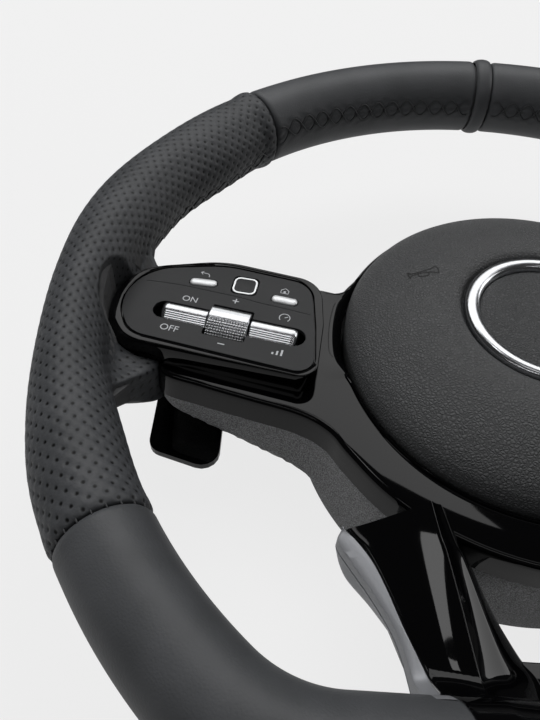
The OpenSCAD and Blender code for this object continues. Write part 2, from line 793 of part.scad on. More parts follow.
module inflator() {
  color(cast_metal) rotate_extrude() polygon([
    [0, tray_z - 3], [inflator_r - 2, tray_z - 3], [inflator_r, tray_z - 1], [inflator_r, tray_z + 12],
    [inflator_r + 4, tray_z + 12], [inflator_r + 4, tray_z + 13.5], [inflator_r - 1, tray_z + 15],
    [inflator_r - 6, tray_z + 19], [0, tray_z + 19]
  ]);
}

module airbag_pack() {
  color([0.8, 0.78, 0.72]) rotate_extrude() polygon([
    [inflator_r + 4.5, tray_z + tray_t + 6.3], [tray_r - tray_t - 0.5, tray_z + tray_t + 6.3],
    [tray_r - tray_t - 0.5, cover_edge + 1], [cover_r - 12.6, cover_edge + 6],
    [cover_r - 22.6, cover_edge + 11], [badge_r + 9, cover_edge + 9.5], [0, cover_edge + 9.5],
    [0, tray_z + 19.4], [inflator_r - 5.6, tray_z + 19.4],
    [inflator_r + 4.5, tray_z + 15]
  ]);
}

module guide_pins() {
  color(steel) for (a = guide_angles) rotate([0, 0, a]) translate([guide_r, 0, 0]) {
    translate([0, 0, plate_z - 0.3]) cylinder(d = guide_pin_d, h = tray_z + tray_t + 3 - plate_z);
    translate([0, 0, tray_z + tray_t]) cylinder(r = guide_pin_d / 2 + 2.5, h = 3);
    translate([0, 0, plate_z - 2.3]) cylinder(r = guide_pin_d / 2 + 1.5, h = 2);
  }
}

// Switch pods
module pod_tray_hollow(grow, z0, z1) {
  intersection() {
    pod_prism(grow, z0, z1, fascia_shift);
    translate([-tray_end + 2 * tray_in, -40, z0 - 1]) cube([80, 80, z1 - z0 + 2]);
  }
}

module pod_frame_left() {
  color(gloss_black) difference() {
    union() {
      ring_stack([
        at_z(belt(pod_circles), pod_base), at_z(belt(pod_circles), pod_z - 2.6),
        at_z(belt(pod_circles, -0.8), pod_z - 0.9), at_z(belt(pod_circles, -2.2), pod_z)
      ]);
      pod_tray_prism(-tray_in, pod_floor, pod_base + 1);
    }
    pod_prism(-bezel, fascia_base, pod_z + 1, fascia_shift);
    pod_prism(-bezel - ledge, pod_base + 1.6, pod_z, fascia_shift);
    pod_tray_hollow(-bezel - ledge, pod_floor + 1.5, pod_z);
  }
  color(gloss_black) along_row() for (s = [-1, 1]) difference() {
    translate([s * ear_at - ear_t / 2, -3, pod_floor + 1]) cube([ear_t, 6, pin_z + 3 - pod_floor - 1]);
    row_pin(rocker_pin_d / 2 + pin_gap, 100);
  }
}

module pod_frame_right() {
  mirrored() pod_frame_left();
}

module button_shape(b, grow, z0, z1) {
  r = min(button_r, b[3] / 2 - 0.05) + grow;
  x = b[2] / 2 + grow - r;
  y = b[3] / 2 + grow - r;
  translate([b[0], b[1], z0]) rotate([0, 0, b[4]]) linear_extrude(height = z1 - z0)
    polygon(belt([[-x, y, r], [-x, -y, r], [x, -y, r], [x, y, r]]));
}

module pod_fascia_left() {
  color(satin_grey) difference() {
    pod_prism(-bezel - seat_gap, fascia_base, fascia_top, fascia_shift);
    along_row() {
      w = roller_w / 2 + tilt_room;
      l = roller_l / 2 + 0.3;
      translate([0, 0, fascia_base - 1]) linear_extrude(height = 4) {
        polygon(belt([
          [-slot_l / 2 + slot_w / 2, 0, slot_w / 2], [slot_l / 2 - slot_w / 2, 0, slot_w / 2]
        ], 0, 10));
        translate([-l, -w]) square([2 * l, 2 * w]);
      }
    }
    for (b = [back_button, home_button, touch_pad])
      button_shape(b, button_gap, fascia_base - 1, fascia_top + 1);
  }
}

module pod_fascia_right() {
  mirrored() pod_fascia_left();
}

module pod_board_left() {
  color([0.05, 0.25, 0.12]) difference() {
    pod_tray_hollow(-bezel - ledge - seat_gap, pod_floor + 1.5 + seat_gap / 2, board_top);
    along_row() for (s = [-1, 1]) translate([s * ear_at - ear_t / 2 - 0.3, -3.3, pod_floor])
      cube([ear_t + 0.6, 6.6, 10]);
  }
}

module pod_board_right() {
  mirrored() pod_board_left();
}

module rocker_pin_left() {
  color(steel) along_row() row_pin(rocker_pin_d / 2, 2 * ear_at + ear_t);
}

module rocker_pin_right() {
  mirrored() rocker_pin_left();
}

// A bar rocker: its section [across, height] is a crowned cap on a boss round the pin
bar_crown = 0.84;
module bar_rocker(at) {
  boss = rocker_pin_d / 2 + 1.4;
  h = bar_top - pin_z;
  color(silver) along_row() translate([at, 0, 0]) difference() {
    translate([-bar_l / 2, 0, pin_z]) rotate([90, 0, 90]) linear_extrude(height = bar_l) polygon(concat(
      [for (a = [200:20:340]) boss * [cos(a), sin(a)]],
      [[bar_w / 2, h - 2.6], [bar_w / 2, h - 1.2]],
      [for (a = [60:-20:-60])
        [bar_w / 2 * 0.92 * sin(a) / sin(60), h - bar_crown * (1 - cos(a)) / (1 - cos(60))]],
      [[-bar_w / 2, h - 1.2], [-bar_w / 2, h - 2.6]]
    ));
    row_pin(rocker_pin_d / 2 + pin_gap, 100);
  }
}

module outer_rocker_left() {
  bar_rocker(-bar_at);
}

module outer_rocker_right() {
  mirrored() outer_rocker_left();
}

module inner_rocker_left() {
  bar_rocker(bar_at);
}

module inner_rocker_right() {
  mirrored() inner_rocker_left();
}

module knurled_rocker_left() {
  boss = rocker_pin_d / 2 + 1.6;
  h = roller_top - pin_z;
  color(silver) along_row() difference() {
    translate([-roller_l / 2, 0, pin_z]) rotate([90, 0, 90]) linear_extrude(height = roller_l) polygon(concat(
      [for (a = [200:20:340]) boss * [cos(a), sin(a)]],
      [[roller_w / 2 - 1, h - 6], [roller_w / 2, h - 4.6]],
      [for (i = [8:-1:-8]) let (t = i / 8) [roller_w / 2 * t, h - 3 * t * t]],
      [[-roller_w / 2, h - 4.6], [-roller_w / 2 + 1, h - 6]]
    ));
    row_pin(rocker_pin_d / 2 + pin_gap, 100);
  }
}

module knurled_rocker_right() {
  mirrored() knurled_rocker_left();
}

// A push button with a plunger that stops just above the board
module push_button(b) {
  color(silver) {
    button_shape(b, 0, fascia_base - 0.4, button_top);
    translate([b[0], b[1], board_top + button_travel + 0.2])
      cylinder(r = 1.5, h = fascia_base - board_top - button_travel - 0.2);
  }
}

module back_button_left() {
  push_button(back_button);
}

module back_button_right() {
  mirrored() back_button_left();
}

module home_button_left() {
  push_button(home_button);
}

module home_button_right() {
  mirrored() home_button_left();
}

module touch_pad_left() {
  push_button(touch_pad);
}

module touch_pad_right() {
  mirrored() touch_pad_left();
}

// Shift paddles, hinged on brackets on the wall of the rear cover
hinge_x = -(hub_r + 6.5);
hinge_z = 13;
module hinge_pin(r, l) {
  translate([hinge_x, 0, hinge_z]) rotate([90, 0, 0]) cylinder(r = r, h = l, center = true);
}

hinge_w = 24;
ear_w = 4;
paddle_x = -(hub_r + 43);
module paddle_left() {
  knuckle = paddle_pin_d / 2 + 2;
  inner = hinge_w / 2 - ear_w - 0.3;
  blade_x = paddle_x + paddle_w / 2;
  color(gloss_black) difference() {
    union() {
      translate([0, 0, paddle_z - paddle_t]) linear_extrude(height = paddle_t) polygon(belt([
        [paddle_x - paddle_w / 2 + 8, 30, 8], [paddle_x - paddle_w / 2 + 6, -30, 6],
        [blade_x - 7, -33.5, 7], [blade_x - 6, 32, 6]
      ]));
      translate([0, inner, 0]) rotate([90, 0, 0]) linear_extrude(height = 2 * inner) polygon([
        [blade_x - 2, paddle_z], [blade_x - 2, paddle_z - paddle_t], [hinge_x - 4.5, hinge_z - 3.4],
        [hinge_x, hinge_z - 3.4], [hinge_x, hinge_z + 3.6], [hinge_x - 4, hinge_z + 5.5],
        [blade_x + 4, paddle_z]
      ]);
      hinge_pin(knuckle, 2 * inner);
    }
    hinge_pin(paddle_pin_d / 2 + pin_gap, 60);
  }
}

module paddle_right() {
  mirrored() paddle_left();
}

module paddle_bracket_left() {
  color(moulded_grey) difference() {
    for (s = [-1, 1]) translate([0, s * (hinge_w / 2 - ear_w / 2) + ear_w / 2, 0]) rotate([90, 0, 0])
      linear_extrude(height = ear_w) polygon([
        [hinge_x - 4, hinge_z - 4], [hinge_x - 4, hinge_z + 3], [hinge_x + 1, hinge_z + 5],
        [-hub_r + 8, hinge_z + 5], [-hub_r + 8, hinge_z - 8], [hinge_x + 1, hinge_z - 8]
      ]);
    hinge_pin(paddle_pin_d / 2 + pin_gap, 60);
    translate([0, 0, -1]) cylinder(r = hub_r + 0.2, h = 60);
  }
}

module paddle_bracket_right() {
  mirrored() paddle_bracket_left();
}

module paddle_pin_left() {
  color(steel) hinge_pin(paddle_pin_d / 2, hinge_w + 1);
}

module paddle_pin_right() {
  mirrored() paddle_pin_left();
}

armature();
rim_core();
rim_foam();
leather_top_left();
leather_top_right();
grip_left();
grip_right();
leather_bottom();
marker_ring();
front_shroud();
lower_spoke_trim();
lower_accent_left();
lower_accent_right();
lower_spoke_back();
rear_cover();
rear_cover_screws();
horn_springs();
airbag_cover();
badge_ring();
badge_disc();
airbag_tray();
inflator();
airbag_pack();
guide_pins();
pod_frame_left();
pod_frame_right();
pod_fascia_left();
pod_fascia_right();
pod_board_left();
pod_board_right();
rocker_pin_left();
rocker_pin_right();
outer_rocker_left();
outer_rocker_right();
inner_rocker_left();
inner_rocker_right();
knurled_rocker_left();
knurled_rocker_right();
back_button_left();
back_button_right();
home_button_left();
home_button_right();
touch_pad_left();
touch_pad_right();
paddle_left();
paddle_right();
paddle_bracket_left();
paddle_bracket_right();
paddle_pin_left();
paddle_pin_right();
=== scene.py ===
import json
import math

import bpy
import numpy as np
from mathutils import Matrix, Vector


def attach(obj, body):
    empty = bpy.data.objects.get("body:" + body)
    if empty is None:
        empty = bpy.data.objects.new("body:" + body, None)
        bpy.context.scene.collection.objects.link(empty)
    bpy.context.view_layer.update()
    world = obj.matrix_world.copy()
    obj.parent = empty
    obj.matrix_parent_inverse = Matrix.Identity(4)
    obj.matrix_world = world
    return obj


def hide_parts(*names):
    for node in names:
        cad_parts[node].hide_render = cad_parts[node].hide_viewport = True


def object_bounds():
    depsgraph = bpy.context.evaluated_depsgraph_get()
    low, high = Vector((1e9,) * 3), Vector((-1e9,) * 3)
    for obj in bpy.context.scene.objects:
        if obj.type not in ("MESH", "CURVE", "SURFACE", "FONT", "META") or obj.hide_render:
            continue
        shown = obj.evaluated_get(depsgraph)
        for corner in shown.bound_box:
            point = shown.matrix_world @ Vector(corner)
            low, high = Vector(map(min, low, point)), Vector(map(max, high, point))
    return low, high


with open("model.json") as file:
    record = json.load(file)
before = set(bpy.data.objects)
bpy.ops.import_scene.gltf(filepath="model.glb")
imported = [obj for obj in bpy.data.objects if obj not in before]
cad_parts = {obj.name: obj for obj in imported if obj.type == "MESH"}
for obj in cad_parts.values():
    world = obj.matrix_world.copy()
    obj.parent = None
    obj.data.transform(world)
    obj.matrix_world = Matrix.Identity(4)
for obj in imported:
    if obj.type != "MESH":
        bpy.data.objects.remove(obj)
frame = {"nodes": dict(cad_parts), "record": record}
cad_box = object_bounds()
MM = 0.001

# View and studio
# The wheel is seen from the driver's lap, close to its left spoke, with a wide lens. It lies on a
# pale table under one broad soft lamp and a smaller one from the left.
camera_at = Vector((-0.09886, -0.16674, 0.24114))
azimuth, elevation, roll = math.radians(0.62), math.radians(50.05), math.radians(3.0)
toward = Vector((math.sin(azimuth) * math.cos(elevation), -math.cos(azimuth) * math.cos(elevation), math.sin(elevation)))
level = (-toward).cross(Vector((0, 0, 1))).normalized()
upright = level.cross(-toward)
across = math.cos(roll) * level + math.sin(roll) * upright
upward = -math.sin(roll) * level + math.cos(roll) * upright
camera_data = bpy.data.cameras.new("view_camera")
camera_data.lens = 32.2
camera_data.sensor_width = 36
camera_data.clip_start = 0.01
camera = bpy.data.objects.new("view_camera", camera_data)
camera.matrix_world = Matrix.Translation(camera_at) @ Matrix((across, upward, toward)).transposed().to_4x4()
bpy.context.collection.objects.link(camera)
bpy.context.scene.camera = camera
bpy.context.scene.view_settings.view_transform = "Standard"

pale = 0.863


def node_of(tree, kind, sockets=None, **settings):
    """A shader node with its sockets and settings filled in."""
    made = tree.nodes.new("ShaderNode" + kind)
    for key, value in settings.items():
        setattr(made, key, value)
    for key, value in (sockets or {}).items():
        if hasattr(value, "is_output"):
            tree.links.new(value, made.inputs[key])
        else:
            made.inputs[key].default_value = value
    return made


world = bpy.data.worlds.new("studio")
bpy.context.scene.world = world
world.use_nodes = True
tree = world.node_tree
tree.nodes.clear()
ray = node_of(tree, "LightPath").outputs
direct = node_of(tree, "Math", {0: ray["Is Camera Ray"], 1: ray["Is Transmission Ray"]}, operation="MAXIMUM").outputs[0]
fill = node_of(tree, "Math", {0: ray["Is Glossy Ray"], 1: -0.12, 2: 0.15}, operation="MULTIPLY_ADD").outputs[0]
room = node_of(tree, "Background", {"Color": (1, 1, 1, 1), "Strength": fill})
wall = node_of(tree, "Background", {"Color": (pale, pale, pale, 1), "Strength": 1.0})
mixed = node_of(tree, "MixShader", {0: direct, 1: room.outputs[0], 2: wall.outputs[0]})
node_of(tree, "OutputWorld", {"Surface": mixed.outputs[0]})


def lamp(name, place, aim, width, depth, watts, mirrored=True, lights=True):
    """A flat soft lamp, which glossy surfaces mirror or not, and which lights matt surfaces or not."""
    data = bpy.data.lights.new(name, "AREA")
    data.shape = "RECTANGLE"
    data.size, data.size_y, data.energy = width, depth, watts
    made = bpy.data.objects.new(name, data)
    made.location = place
    made.rotation_euler = (Vector(aim) - Vector(place)).to_track_quat("-Z", "Y").to_euler()
    made.visible_glossy = mirrored
    made.visible_diffuse = lights
    bpy.context.collection.objects.link(made)
    return made


lamp("overhead_lamp", (-0.1, 0.5, 1.1), (0, 0, 0), 1.5, 1.0, 12.5, mirrored=False)
lamp("back_panel", (-0.28, 1.06, 1.2), (-0.28, 1.06, 0), 1.44, 1.08, 8.6)
lamp("far_panel", (0.8, 1.14, 1.2), (0.8, 1.14, 0), 0.7, 0.92, 3.8, lights=False)
lamp("right_panel", (1.35, 0.5, 0.62), (0, -0.1, 0.06), 0.8, 0.9, 4.5, lights=False)
lamp("small_window", (-0.3, 0.22, 1.2), (-0.3, 0.22, 0), 0.2, 0.18, 0.4, lights=False)
lamp("low_window", (0.15, -0.08, 1.2), (0.15, -0.08, 0), 0.5, 0.25, 0.35, lights=False)
lamp("left_lamp", (-1.1, -0.2, 0.7), (0, 0, 0.05), 0.7, 0.7, 2.5, mirrored=False)
lamp("front_strip", (-0.1, -0.75, 1.1), (-0.1, 0, 0.06), 1.7, 0.07, 1.0, lights=False)

floor_mesh = bpy.data.meshes.new("floor")
floor_mesh.from_pydata([(-6, -6, 0), (6, -6, 0), (6, 6, 0), (-6, 6, 0)], [], [(0, 1, 2, 3)])
floor = bpy.data.objects.new("floor", floor_mesh)
floor.location.z = cad_box[0][2] - 0.0005
bpy.context.collection.objects.link(floor)
floor_finish = bpy.data.materials.new("pale_floor")
floor_finish.use_nodes = True
tree = floor_finish.node_tree
tree.nodes.clear()
lit = node_of(tree, "BsdfDiffuse", {"Color": (pale, pale, pale, 1)})
ray = node_of(tree, "LightPath").outputs
spot = node_of(tree, "TexCoord").outputs["Object"]
away = node_of(tree, "VectorMath", {0: spot}, operation="LENGTH").outputs["Value"]
less = node_of(tree, "MapRange", {"Value": away, "From Min": 0.25, "From Max": 0.6, "To Min": -0.5, "To Max": -0.88})
dimmed = node_of(tree, "Math", {0: ray["Is Glossy Ray"], 1: less.outputs[0], 2: 1.0}, operation="MULTIPLY_ADD")
glow = node_of(tree, "Emission", {"Color": (pale, pale, pale, 1), "Strength": dimmed.outputs[0]})
some = node_of(tree, "Math", {0: ray["Is Camera Ray"], 1: ray["Is Transmission Ray"]}, operation="MAXIMUM")
seen = node_of(tree, "Math", {0: some.outputs[0], 1: ray["Is Glossy Ray"]}, operation="MAXIMUM")
share = node_of(tree, "Math", {0: seen.outputs[0], 1: 0.92}, operation="MULTIPLY")
mixed = node_of(tree, "MixShader", {0: share.outputs[0], 1: lit.outputs[0], 2: glow.outputs[0]})
node_of(tree, "OutputMaterial", {"Surface": mixed.outputs[0]})
floor_mesh.materials.append(floor_finish)

# Rim: leather sleeves
# Nappa leather is wrapped round the foam and laced on the inner side with two waxed threads. The
# grips at nine and three o'clock are perforated, and each sleeve tucks into a seam at its ends.
rim_z = 70
rim_r = 170
corner_r, corner_y, flat_y = 50, 92, 142
corner_d = rim_r - corner_r
flat_half = math.sqrt(corner_d**2 - corner_y**2)
join_w = 180 + math.degrees(math.asin(corner_y / corner_d))


def ease(x):
    x = np.clip(x, 0, 1)
    return x * x * (3 - 2 * x)


def bump(w, middle, half):
    return np.where(abs(w - middle) < half, (1 + np.cos(np.pi * (w - middle) / half)) / 2, 0)


def rim_half_widths(w):
    """Half widths of the rim's section outwards, inwards and towards the driver."""
    w = np.where(w <= 270.5, w, 541 - w)
    outer = 15 - 1.3 * (1 - ease((w - 126) / 14)) + 2 * bump(w, 162, 15) - 2.4 * bump(w, 187, 19) + 0.6 * bump(w, 207, 9)
    inner = 15 + 2.1 * (1 - ease((w - 140) / 18)) + 1.8 * bump(w, 145, 13) - 5.4 * bump(w, 182, 22)
    return outer, inner, 17.5 - 1.5 * bump(w, 184, 24)


def rounded(points, steps=6):
    """A smooth line through points, by Catmull and Rom's rule."""
    p = np.asarray(points, float)
    p = np.concatenate([[2 * p[0] - p[1]], p, [2 * p[-1] - p[-2]]])
    t = np.linspace(0, 1, steps, endpoint=False)[:, None]
    out = []
    for a, b, c, d in zip(p[:-3], p[1:-2], p[2:-1], p[3:]):
        out.append(0.5 * (2 * b + (c - a) * t + (2 * a - 5 * b + 4 * c - d) * t**2 + (3 * b - a - 3 * c + d) * t**3))
    return np.concatenate(out + [p[-2:-1]])


root_from, root_to, root_step = 157.5, 292.5, 22.5
root_curve = rounded([[root_from, -9.0, 6.1], [180, -13.75, -7.5], [202.5, -27.5, -12.5], [225, -27.5, -31],
                      [247.5, -15.1, -29], [270, -5.5, -21], [root_to, 5.7, -14.8]], 8)


def root_share(w, a):
    """How far the leather follows the spoke's root, from 0 to 1."""
    w = np.where(w <= 270.5, w, 541 - w)
    return ease((7.5 + 7 - abs(w - 180)) / 7) * ((a > root_from) & (a < root_to))


def rim_grid(w, a, lift=0.0):
    """Points of the rim's skin at stations w and section angles a, in degrees."""
    w, a = np.meshgrid(w, a, indexing="ij")
    turn = np.where(w <= 270, w, np.where(w <= 271, 270, w - 1))
    c, s = np.cos(np.radians(turn)), np.sin(np.radians(turn))
    on_circle = (w <= join_w) | (w >= 541 - join_w)
    side = np.where(w < 270.5, -1, 1)
    x = np.where(on_circle, rim_r * c, side * flat_half + corner_r * c)
    y = np.where(on_circle, rim_r * s, -corner_y + corner_r * s)
    flat = (w > 270) & (w < 271)
    x = np.where(flat, flat_half * (2 * (w - 270) - 1), x)
    outer, inner, deep = rim_half_widths(w)
    ca, sa = np.cos(np.radians(a)), np.sin(np.radians(a))
    n = (np.where(ca >= 0, outer, inner) + lift) * ca
    z = (deep + lift) * sa
    share = root_share(w, a % 360)
    a = a % 360
    first = np.clip(1 - (a - root_from) / root_step, 0, 1)
    last = np.clip(1 - (root_to - a) / root_step, 0, 1)
    root_n = np.interp(a, root_curve[:, 0], root_curve[:, 1])
    root_z = np.interp(a, root_curve[:, 0], root_curve[:, 2])
    at_from, at_to = math.radians(root_from), math.radians(root_to)
    root_n += (inner * math.cos(at_from) - root_curve[0, 1]) * first + (outer * math.cos(at_to) - root_curve[-1, 1]) * last
    root_z += (deep * math.sin(at_from) - root_curve[0, 2]) * first + (deep * math.sin(at_to) - root_curve[-1, 2]) * last
    root_n = np.maximum(root_n, -27.8)
    n = n * (1 - share) + root_n * share
    z = z * (1 - share) + root_z * share
    return np.stack([x + n * c, y + n * s, rim_z + z], -1)


def outward(grid, closed=True):
    """Unit normals of a grid of points, whose second direction may be a closed loop."""
    along = np.gradient(grid, axis=0)
    if closed:
        around = (np.roll(grid, -1, 1) - np.roll(grid, 1, 1)) / 2
    else:
        around = np.gradient(grid, axis=1)
    n = np.cross(along, around)
    return n / np.maximum(np.linalg.norm(n, axis=-1, keepdims=True), 1e-9)


def skin(name, grid, closed=True, looped=False, uv=None, caps=False):
    """A smooth mesh through a grid of points in millimetres."""
    n, m = grid.shape[:2]
    rows = n if looped else n - 1
    columns = m if closed else m - 1
    i, k = np.meshgrid(np.arange(rows), np.arange(columns), indexing="ij")
    i2, k2 = (i + 1) % n, (k + 1) % m
    faces = np.stack([i * m + k, i2 * m + k, i2 * m + k2, i * m + k2], -1).reshape(-1, 4).tolist()
    if caps:
        faces += [list(range(m)), [n * m - 1 - j for j in range(m)]]
    mesh = bpy.data.meshes.new(name)
    mesh.from_pydata((grid.reshape(-1, 3) * MM).tolist(), [], faces)
    mesh.polygons.foreach_set("use_smooth", [True] * len(mesh.polygons))
    if uv is not None:
        layer = mesh.uv_layers.new(name="hide")
        corners = np.stack([uv[i, k], uv[i + 1, k], uv[i + 1, k + 1], uv[i, k + 1]], 2).reshape(-1)
        layer.data.foreach_set("uv", np.concatenate([corners, np.zeros(2 * len(mesh.loops) - len(corners))]))
    mesh.update()
    made = bpy.data.objects.new(name, mesh)
    bpy.context.collection.objects.link(made)
    return made


def fit(piece, body, slot, finish, *nodes):
    """Gives a piece its finish and body, and hides the CAD nodes that it stands for. The slot is not used."""
    piece.data.materials.clear()
    piece.data.materials.append(finish)
    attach(piece, body)
    if nodes:
        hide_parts(*nodes)
    return piece


def new_finish(name, colour, roughness, **sockets):
    """A material whose plain values sit on the shader's own sockets."""
    finish = bpy.data.materials.new(name)
    finish.use_nodes = True
    shader = finish.node_tree.nodes["Principled BSDF"]
    shader.inputs["Base Color"].default_value = (*colour, 1)
    shader.inputs["Roughness"].default_value = roughness
    for key, value in sockets.items():
        shader.inputs[key.replace("_", " ")].default_value = value
    return finish


def shader_of(finish):
    return finish.node_tree.nodes["Principled BSDF"]


def grain(finish, scale, depth, kind="Noise", strength=1.0, stretch=(1, 1, 1), detail=4.0):
    """Adds a relief of a given scale, in marks a metre, and depth in metres, under what is there."""
    tree = finish.node_tree
    shader = shader_of(finish)
    place = node_of(tree, "TexCoord").outputs["Object"]
    moved = node_of(tree, "Mapping", {"Vector": place, "Scale": stretch}).outputs[0]
    if kind == "Noise":
        height = node_of(tree, "TexNoise", {"Vector": moved, "Scale": scale, "Detail": detail}).outputs[0]
    else:
        height = node_of(tree, "TexVoronoi", {"Vector": moved, "Scale": scale}, feature="SMOOTH_F1").outputs["Distance"]
    relief = node_of(tree, "Bump", {"Height": height, "Distance": depth, "Strength": strength})
    before = shader.inputs["Normal"].links
    if before:
        tree.links.new(before[0].from_socket, relief.inputs["Normal"])
    tree.links.new(relief.outputs[0], shader.inputs["Normal"])
    return height


def mottle(finish, dark, light, scale, low=0.35, high=0.65):
    """Varies a surface's colour a little between two values."""
    tree = finish.node_tree
    place = node_of(tree, "TexCoord").outputs["Object"]
    noise = node_of(tree, "TexNoise", {"Vector": place, "Scale": scale, "Detail": 5.0}).outputs[0]
    spread = node_of(tree, "MapRange", {"Value": noise, "From Min": low, "From Max": high}).outputs[0]
    mix = node_of(tree, "Mix", data_type="RGBA")
    tree.links.new(spread, mix.inputs[0])
    mix.inputs[6].default_value = (*dark, 1)
    mix.inputs[7].default_value = (*light, 1)
    tree.links.new(mix.outputs[2], shader_of(finish).inputs["Base Color"])
    return mix


smooth_leather = new_finish("smooth_leather", (0.05, 0.052, 0.055), 0.45, Specular_IOR_Level=0.4)
mottle(smooth_leather, (0.046, 0.048, 0.051), (0.057, 0.059, 0.063), 60)
grain(smooth_leather, 1500, 0.00006, "Voronoi")
grain(smooth_leather, 4200, 0.00002)

perforated_leather = new_finish("perforated_leather", (0.05, 0.052, 0.055), 0.48, Specular_IOR_Level=0.38)
mix = mottle(perforated_leather, (0.041, 0.043, 0.046), (0.051, 0.053, 0.057), 60)
grain(perforated_leather, 1500, 0.00006, "Voronoi")
hole_pitch = 5.0
hole_r = 0.52


def hole_distance(tree):
    """Distance in millimetres to the nearest hole of a staggered pattern, from the hide's own plan."""
    plan = node_of(tree, "UVMap", uv_map="hide").outputs[0]
    parts = node_of(tree, "SeparateXYZ", {0: plan}).outputs
    nearest = None
    for shift in (0.0, 0.5):
        squares = []
        for axis in (0, 1):
            cell = node_of(tree, "Math", {0: parts[axis], 1: shift + 0.5}, operation="ADD").outputs[0]
            part = node_of(tree, "Math", {0: cell}, operation="FRACT").outputs[0]
            off = node_of(tree, "Math", {0: part, 1: 0.5}, operation="SUBTRACT").outputs[0]
            squares.append(node_of(tree, "Math", {0: off, 1: off}, operation="MULTIPLY").outputs[0])
        far = node_of(tree, "Math", {0: squares[0], 1: squares[1]}, operation="ADD").outputs[0]
        nearest = far if nearest is None else node_of(tree, "Math", {0: nearest, 1: far}, operation="MINIMUM").outputs[0]
    root = node_of(tree, "Math", {0: nearest}, operation="SQRT").outputs[0]
    return node_of(tree, "Math", {0: root, 1: hole_pitch}, operation="MULTIPLY").outputs[0]


# Painted shade: the punched holes are not cut, so each one is a near-black dot in the leather's colour that stands for
# the shade inside the hole.
tree = perforated_leather.node_tree
hole = hole_distance(tree)
hole_shade_mask = node_of(tree, "MapRange", {"Value": hole, "From Min": hole_r - 0.2, "From Max": hole_r + 0.25})
hole_shade = node_of(tree, "Mix", data_type="RGBA")
tree.links.new(hole_shade_mask.outputs[0], hole_shade.inputs[0])
hole_shade.inputs[6].default_value = (0.002, 0.002, 0.002, 1)
tree.links.new(mix.outputs[2], hole_shade.inputs[7])
tree.links.new(hole_shade.outputs[2], shader_of(perforated_leather).inputs["Base Color"])

waxed_thread = new_finish("waxed_thread", (0.026, 0.027, 0.029), 0.45)
grain(waxed_thread, 2500, 0.0001, stretch=(1, 1, 3))

rim_stations = np.concatenate([np.arange(90, join_w, 0.5), np.linspace(join_w, 270, 40)])
station_walk = np.concatenate([[0], np.cumsum(np.linalg.norm(np.diff(rim_grid(rim_stations, np.array([90.0]))[:, 0], axis=0), axis=1))])
flat_length = 2 * flat_half
half_rim = station_walk[-1] + flat_half


def walked(w):
    """Length along the rim's middle from twelve o'clock to station w, the left half first."""
    walk = np.interp(np.minimum(w, 541 - w), rim_stations, station_walk)
    past = np.clip(w - 270, 0, 1) * flat_length
    return np.where(np.asarray(w) <= 270.5, walk + past, 2 * half_rim - walk - flat_length + past)


lace_pitch = 17.5
lace_half = 3.5
section_length = 101.0


def lace_angle(w):
    """Section angle of the laced seam, which turns from the inner side of the rim to its back."""
    w = np.where(w <= 270.5, w, 541 - w)
    return 173 - 9 * ease((w - 95) / 37) + 43 * ease((w - 128) / 14)


def lace_offset(walk, phase):
    return lace_half * np.cos(2 * np.pi * (walk / lace_pitch + phase))


def hide_relief(walk, arc, seam_arc, laced, start, end, swell, perforated):
    """Height of the leather over its plain form: rolled ends, laced seam and punched dimples."""
    from_end = np.minimum(walk - start, end - walk)
    tuck = np.clip(1 - from_end / 2.4, 0, 1)
    height = -1.5 * (1 - np.sqrt(np.clip(1 - tuck**2, 0, 1))) + 0 * arc
    for distance, rise in ((walk - start, swell[0]), (end - walk, swell[1])):
        height += rise * ease(1 - abs(distance - 3) / 7)
    side = arc - seam_arc
    relief = -0.4 * np.exp(-((side / 0.9) ** 2))
    for phase in (0, 0.5):
        near = side - lace_offset(walk, phase)
        relief -= 0.42 * np.exp(-((near / 0.7) ** 2)) * (abs(side) < lace_half + 1.5)
    relief += 0.2 * np.cos(4 * np.pi * walk / lace_pitch) * np.exp(-(((abs(side) - lace_half - 0.6) / 1.3) ** 2))
    height += relief * laced
    if perforated:
        far = np.full(np.broadcast(walk, arc).shape, 99.0)
        for shift in (0.0, 0.5):
            u = (walk / hole_pitch + shift + 0.5) % 1 - 0.5
            v = (arc / hole_pitch + shift + 0.5) % 1 - 0.5
            far = np.minimum(far, np.hypot(u, v) * hole_pitch)
        height -= 0.34 * np.exp(-((far / 1.1) ** 2)) + 0.3 * np.exp(-((far / 0.5) ** 2))
    return height


def off_pods(grid):
    """Moves the leather out from under the round ends of the switch pods."""
    for middle, reach in (([-141.4, 3.6], 21.9), ([-148, -0.9], 14.9)):
        for side in (1, -1):
            away = grid[..., :2] - np.array(middle) * [side, 1]
            far = np.linalg.norm(away, axis=-1, keepdims=True)
            share = ease((grid[..., 2:] - 57.6) / 1.2) * (far < reach + 0.3)
            grid = grid.copy()
            grid[..., :2] += away / np.maximum(far, 1e-6) * (reach + 0.3 - far) * share
    return grid


def laced_part(w):
    """1 where the seam is laced, and 0 where the leather goes round the spoke's root."""
    w = np.where(w <= 270.5, w, 541 - w)
    return ease((abs(w - 180) - 13.5) / 1.5)


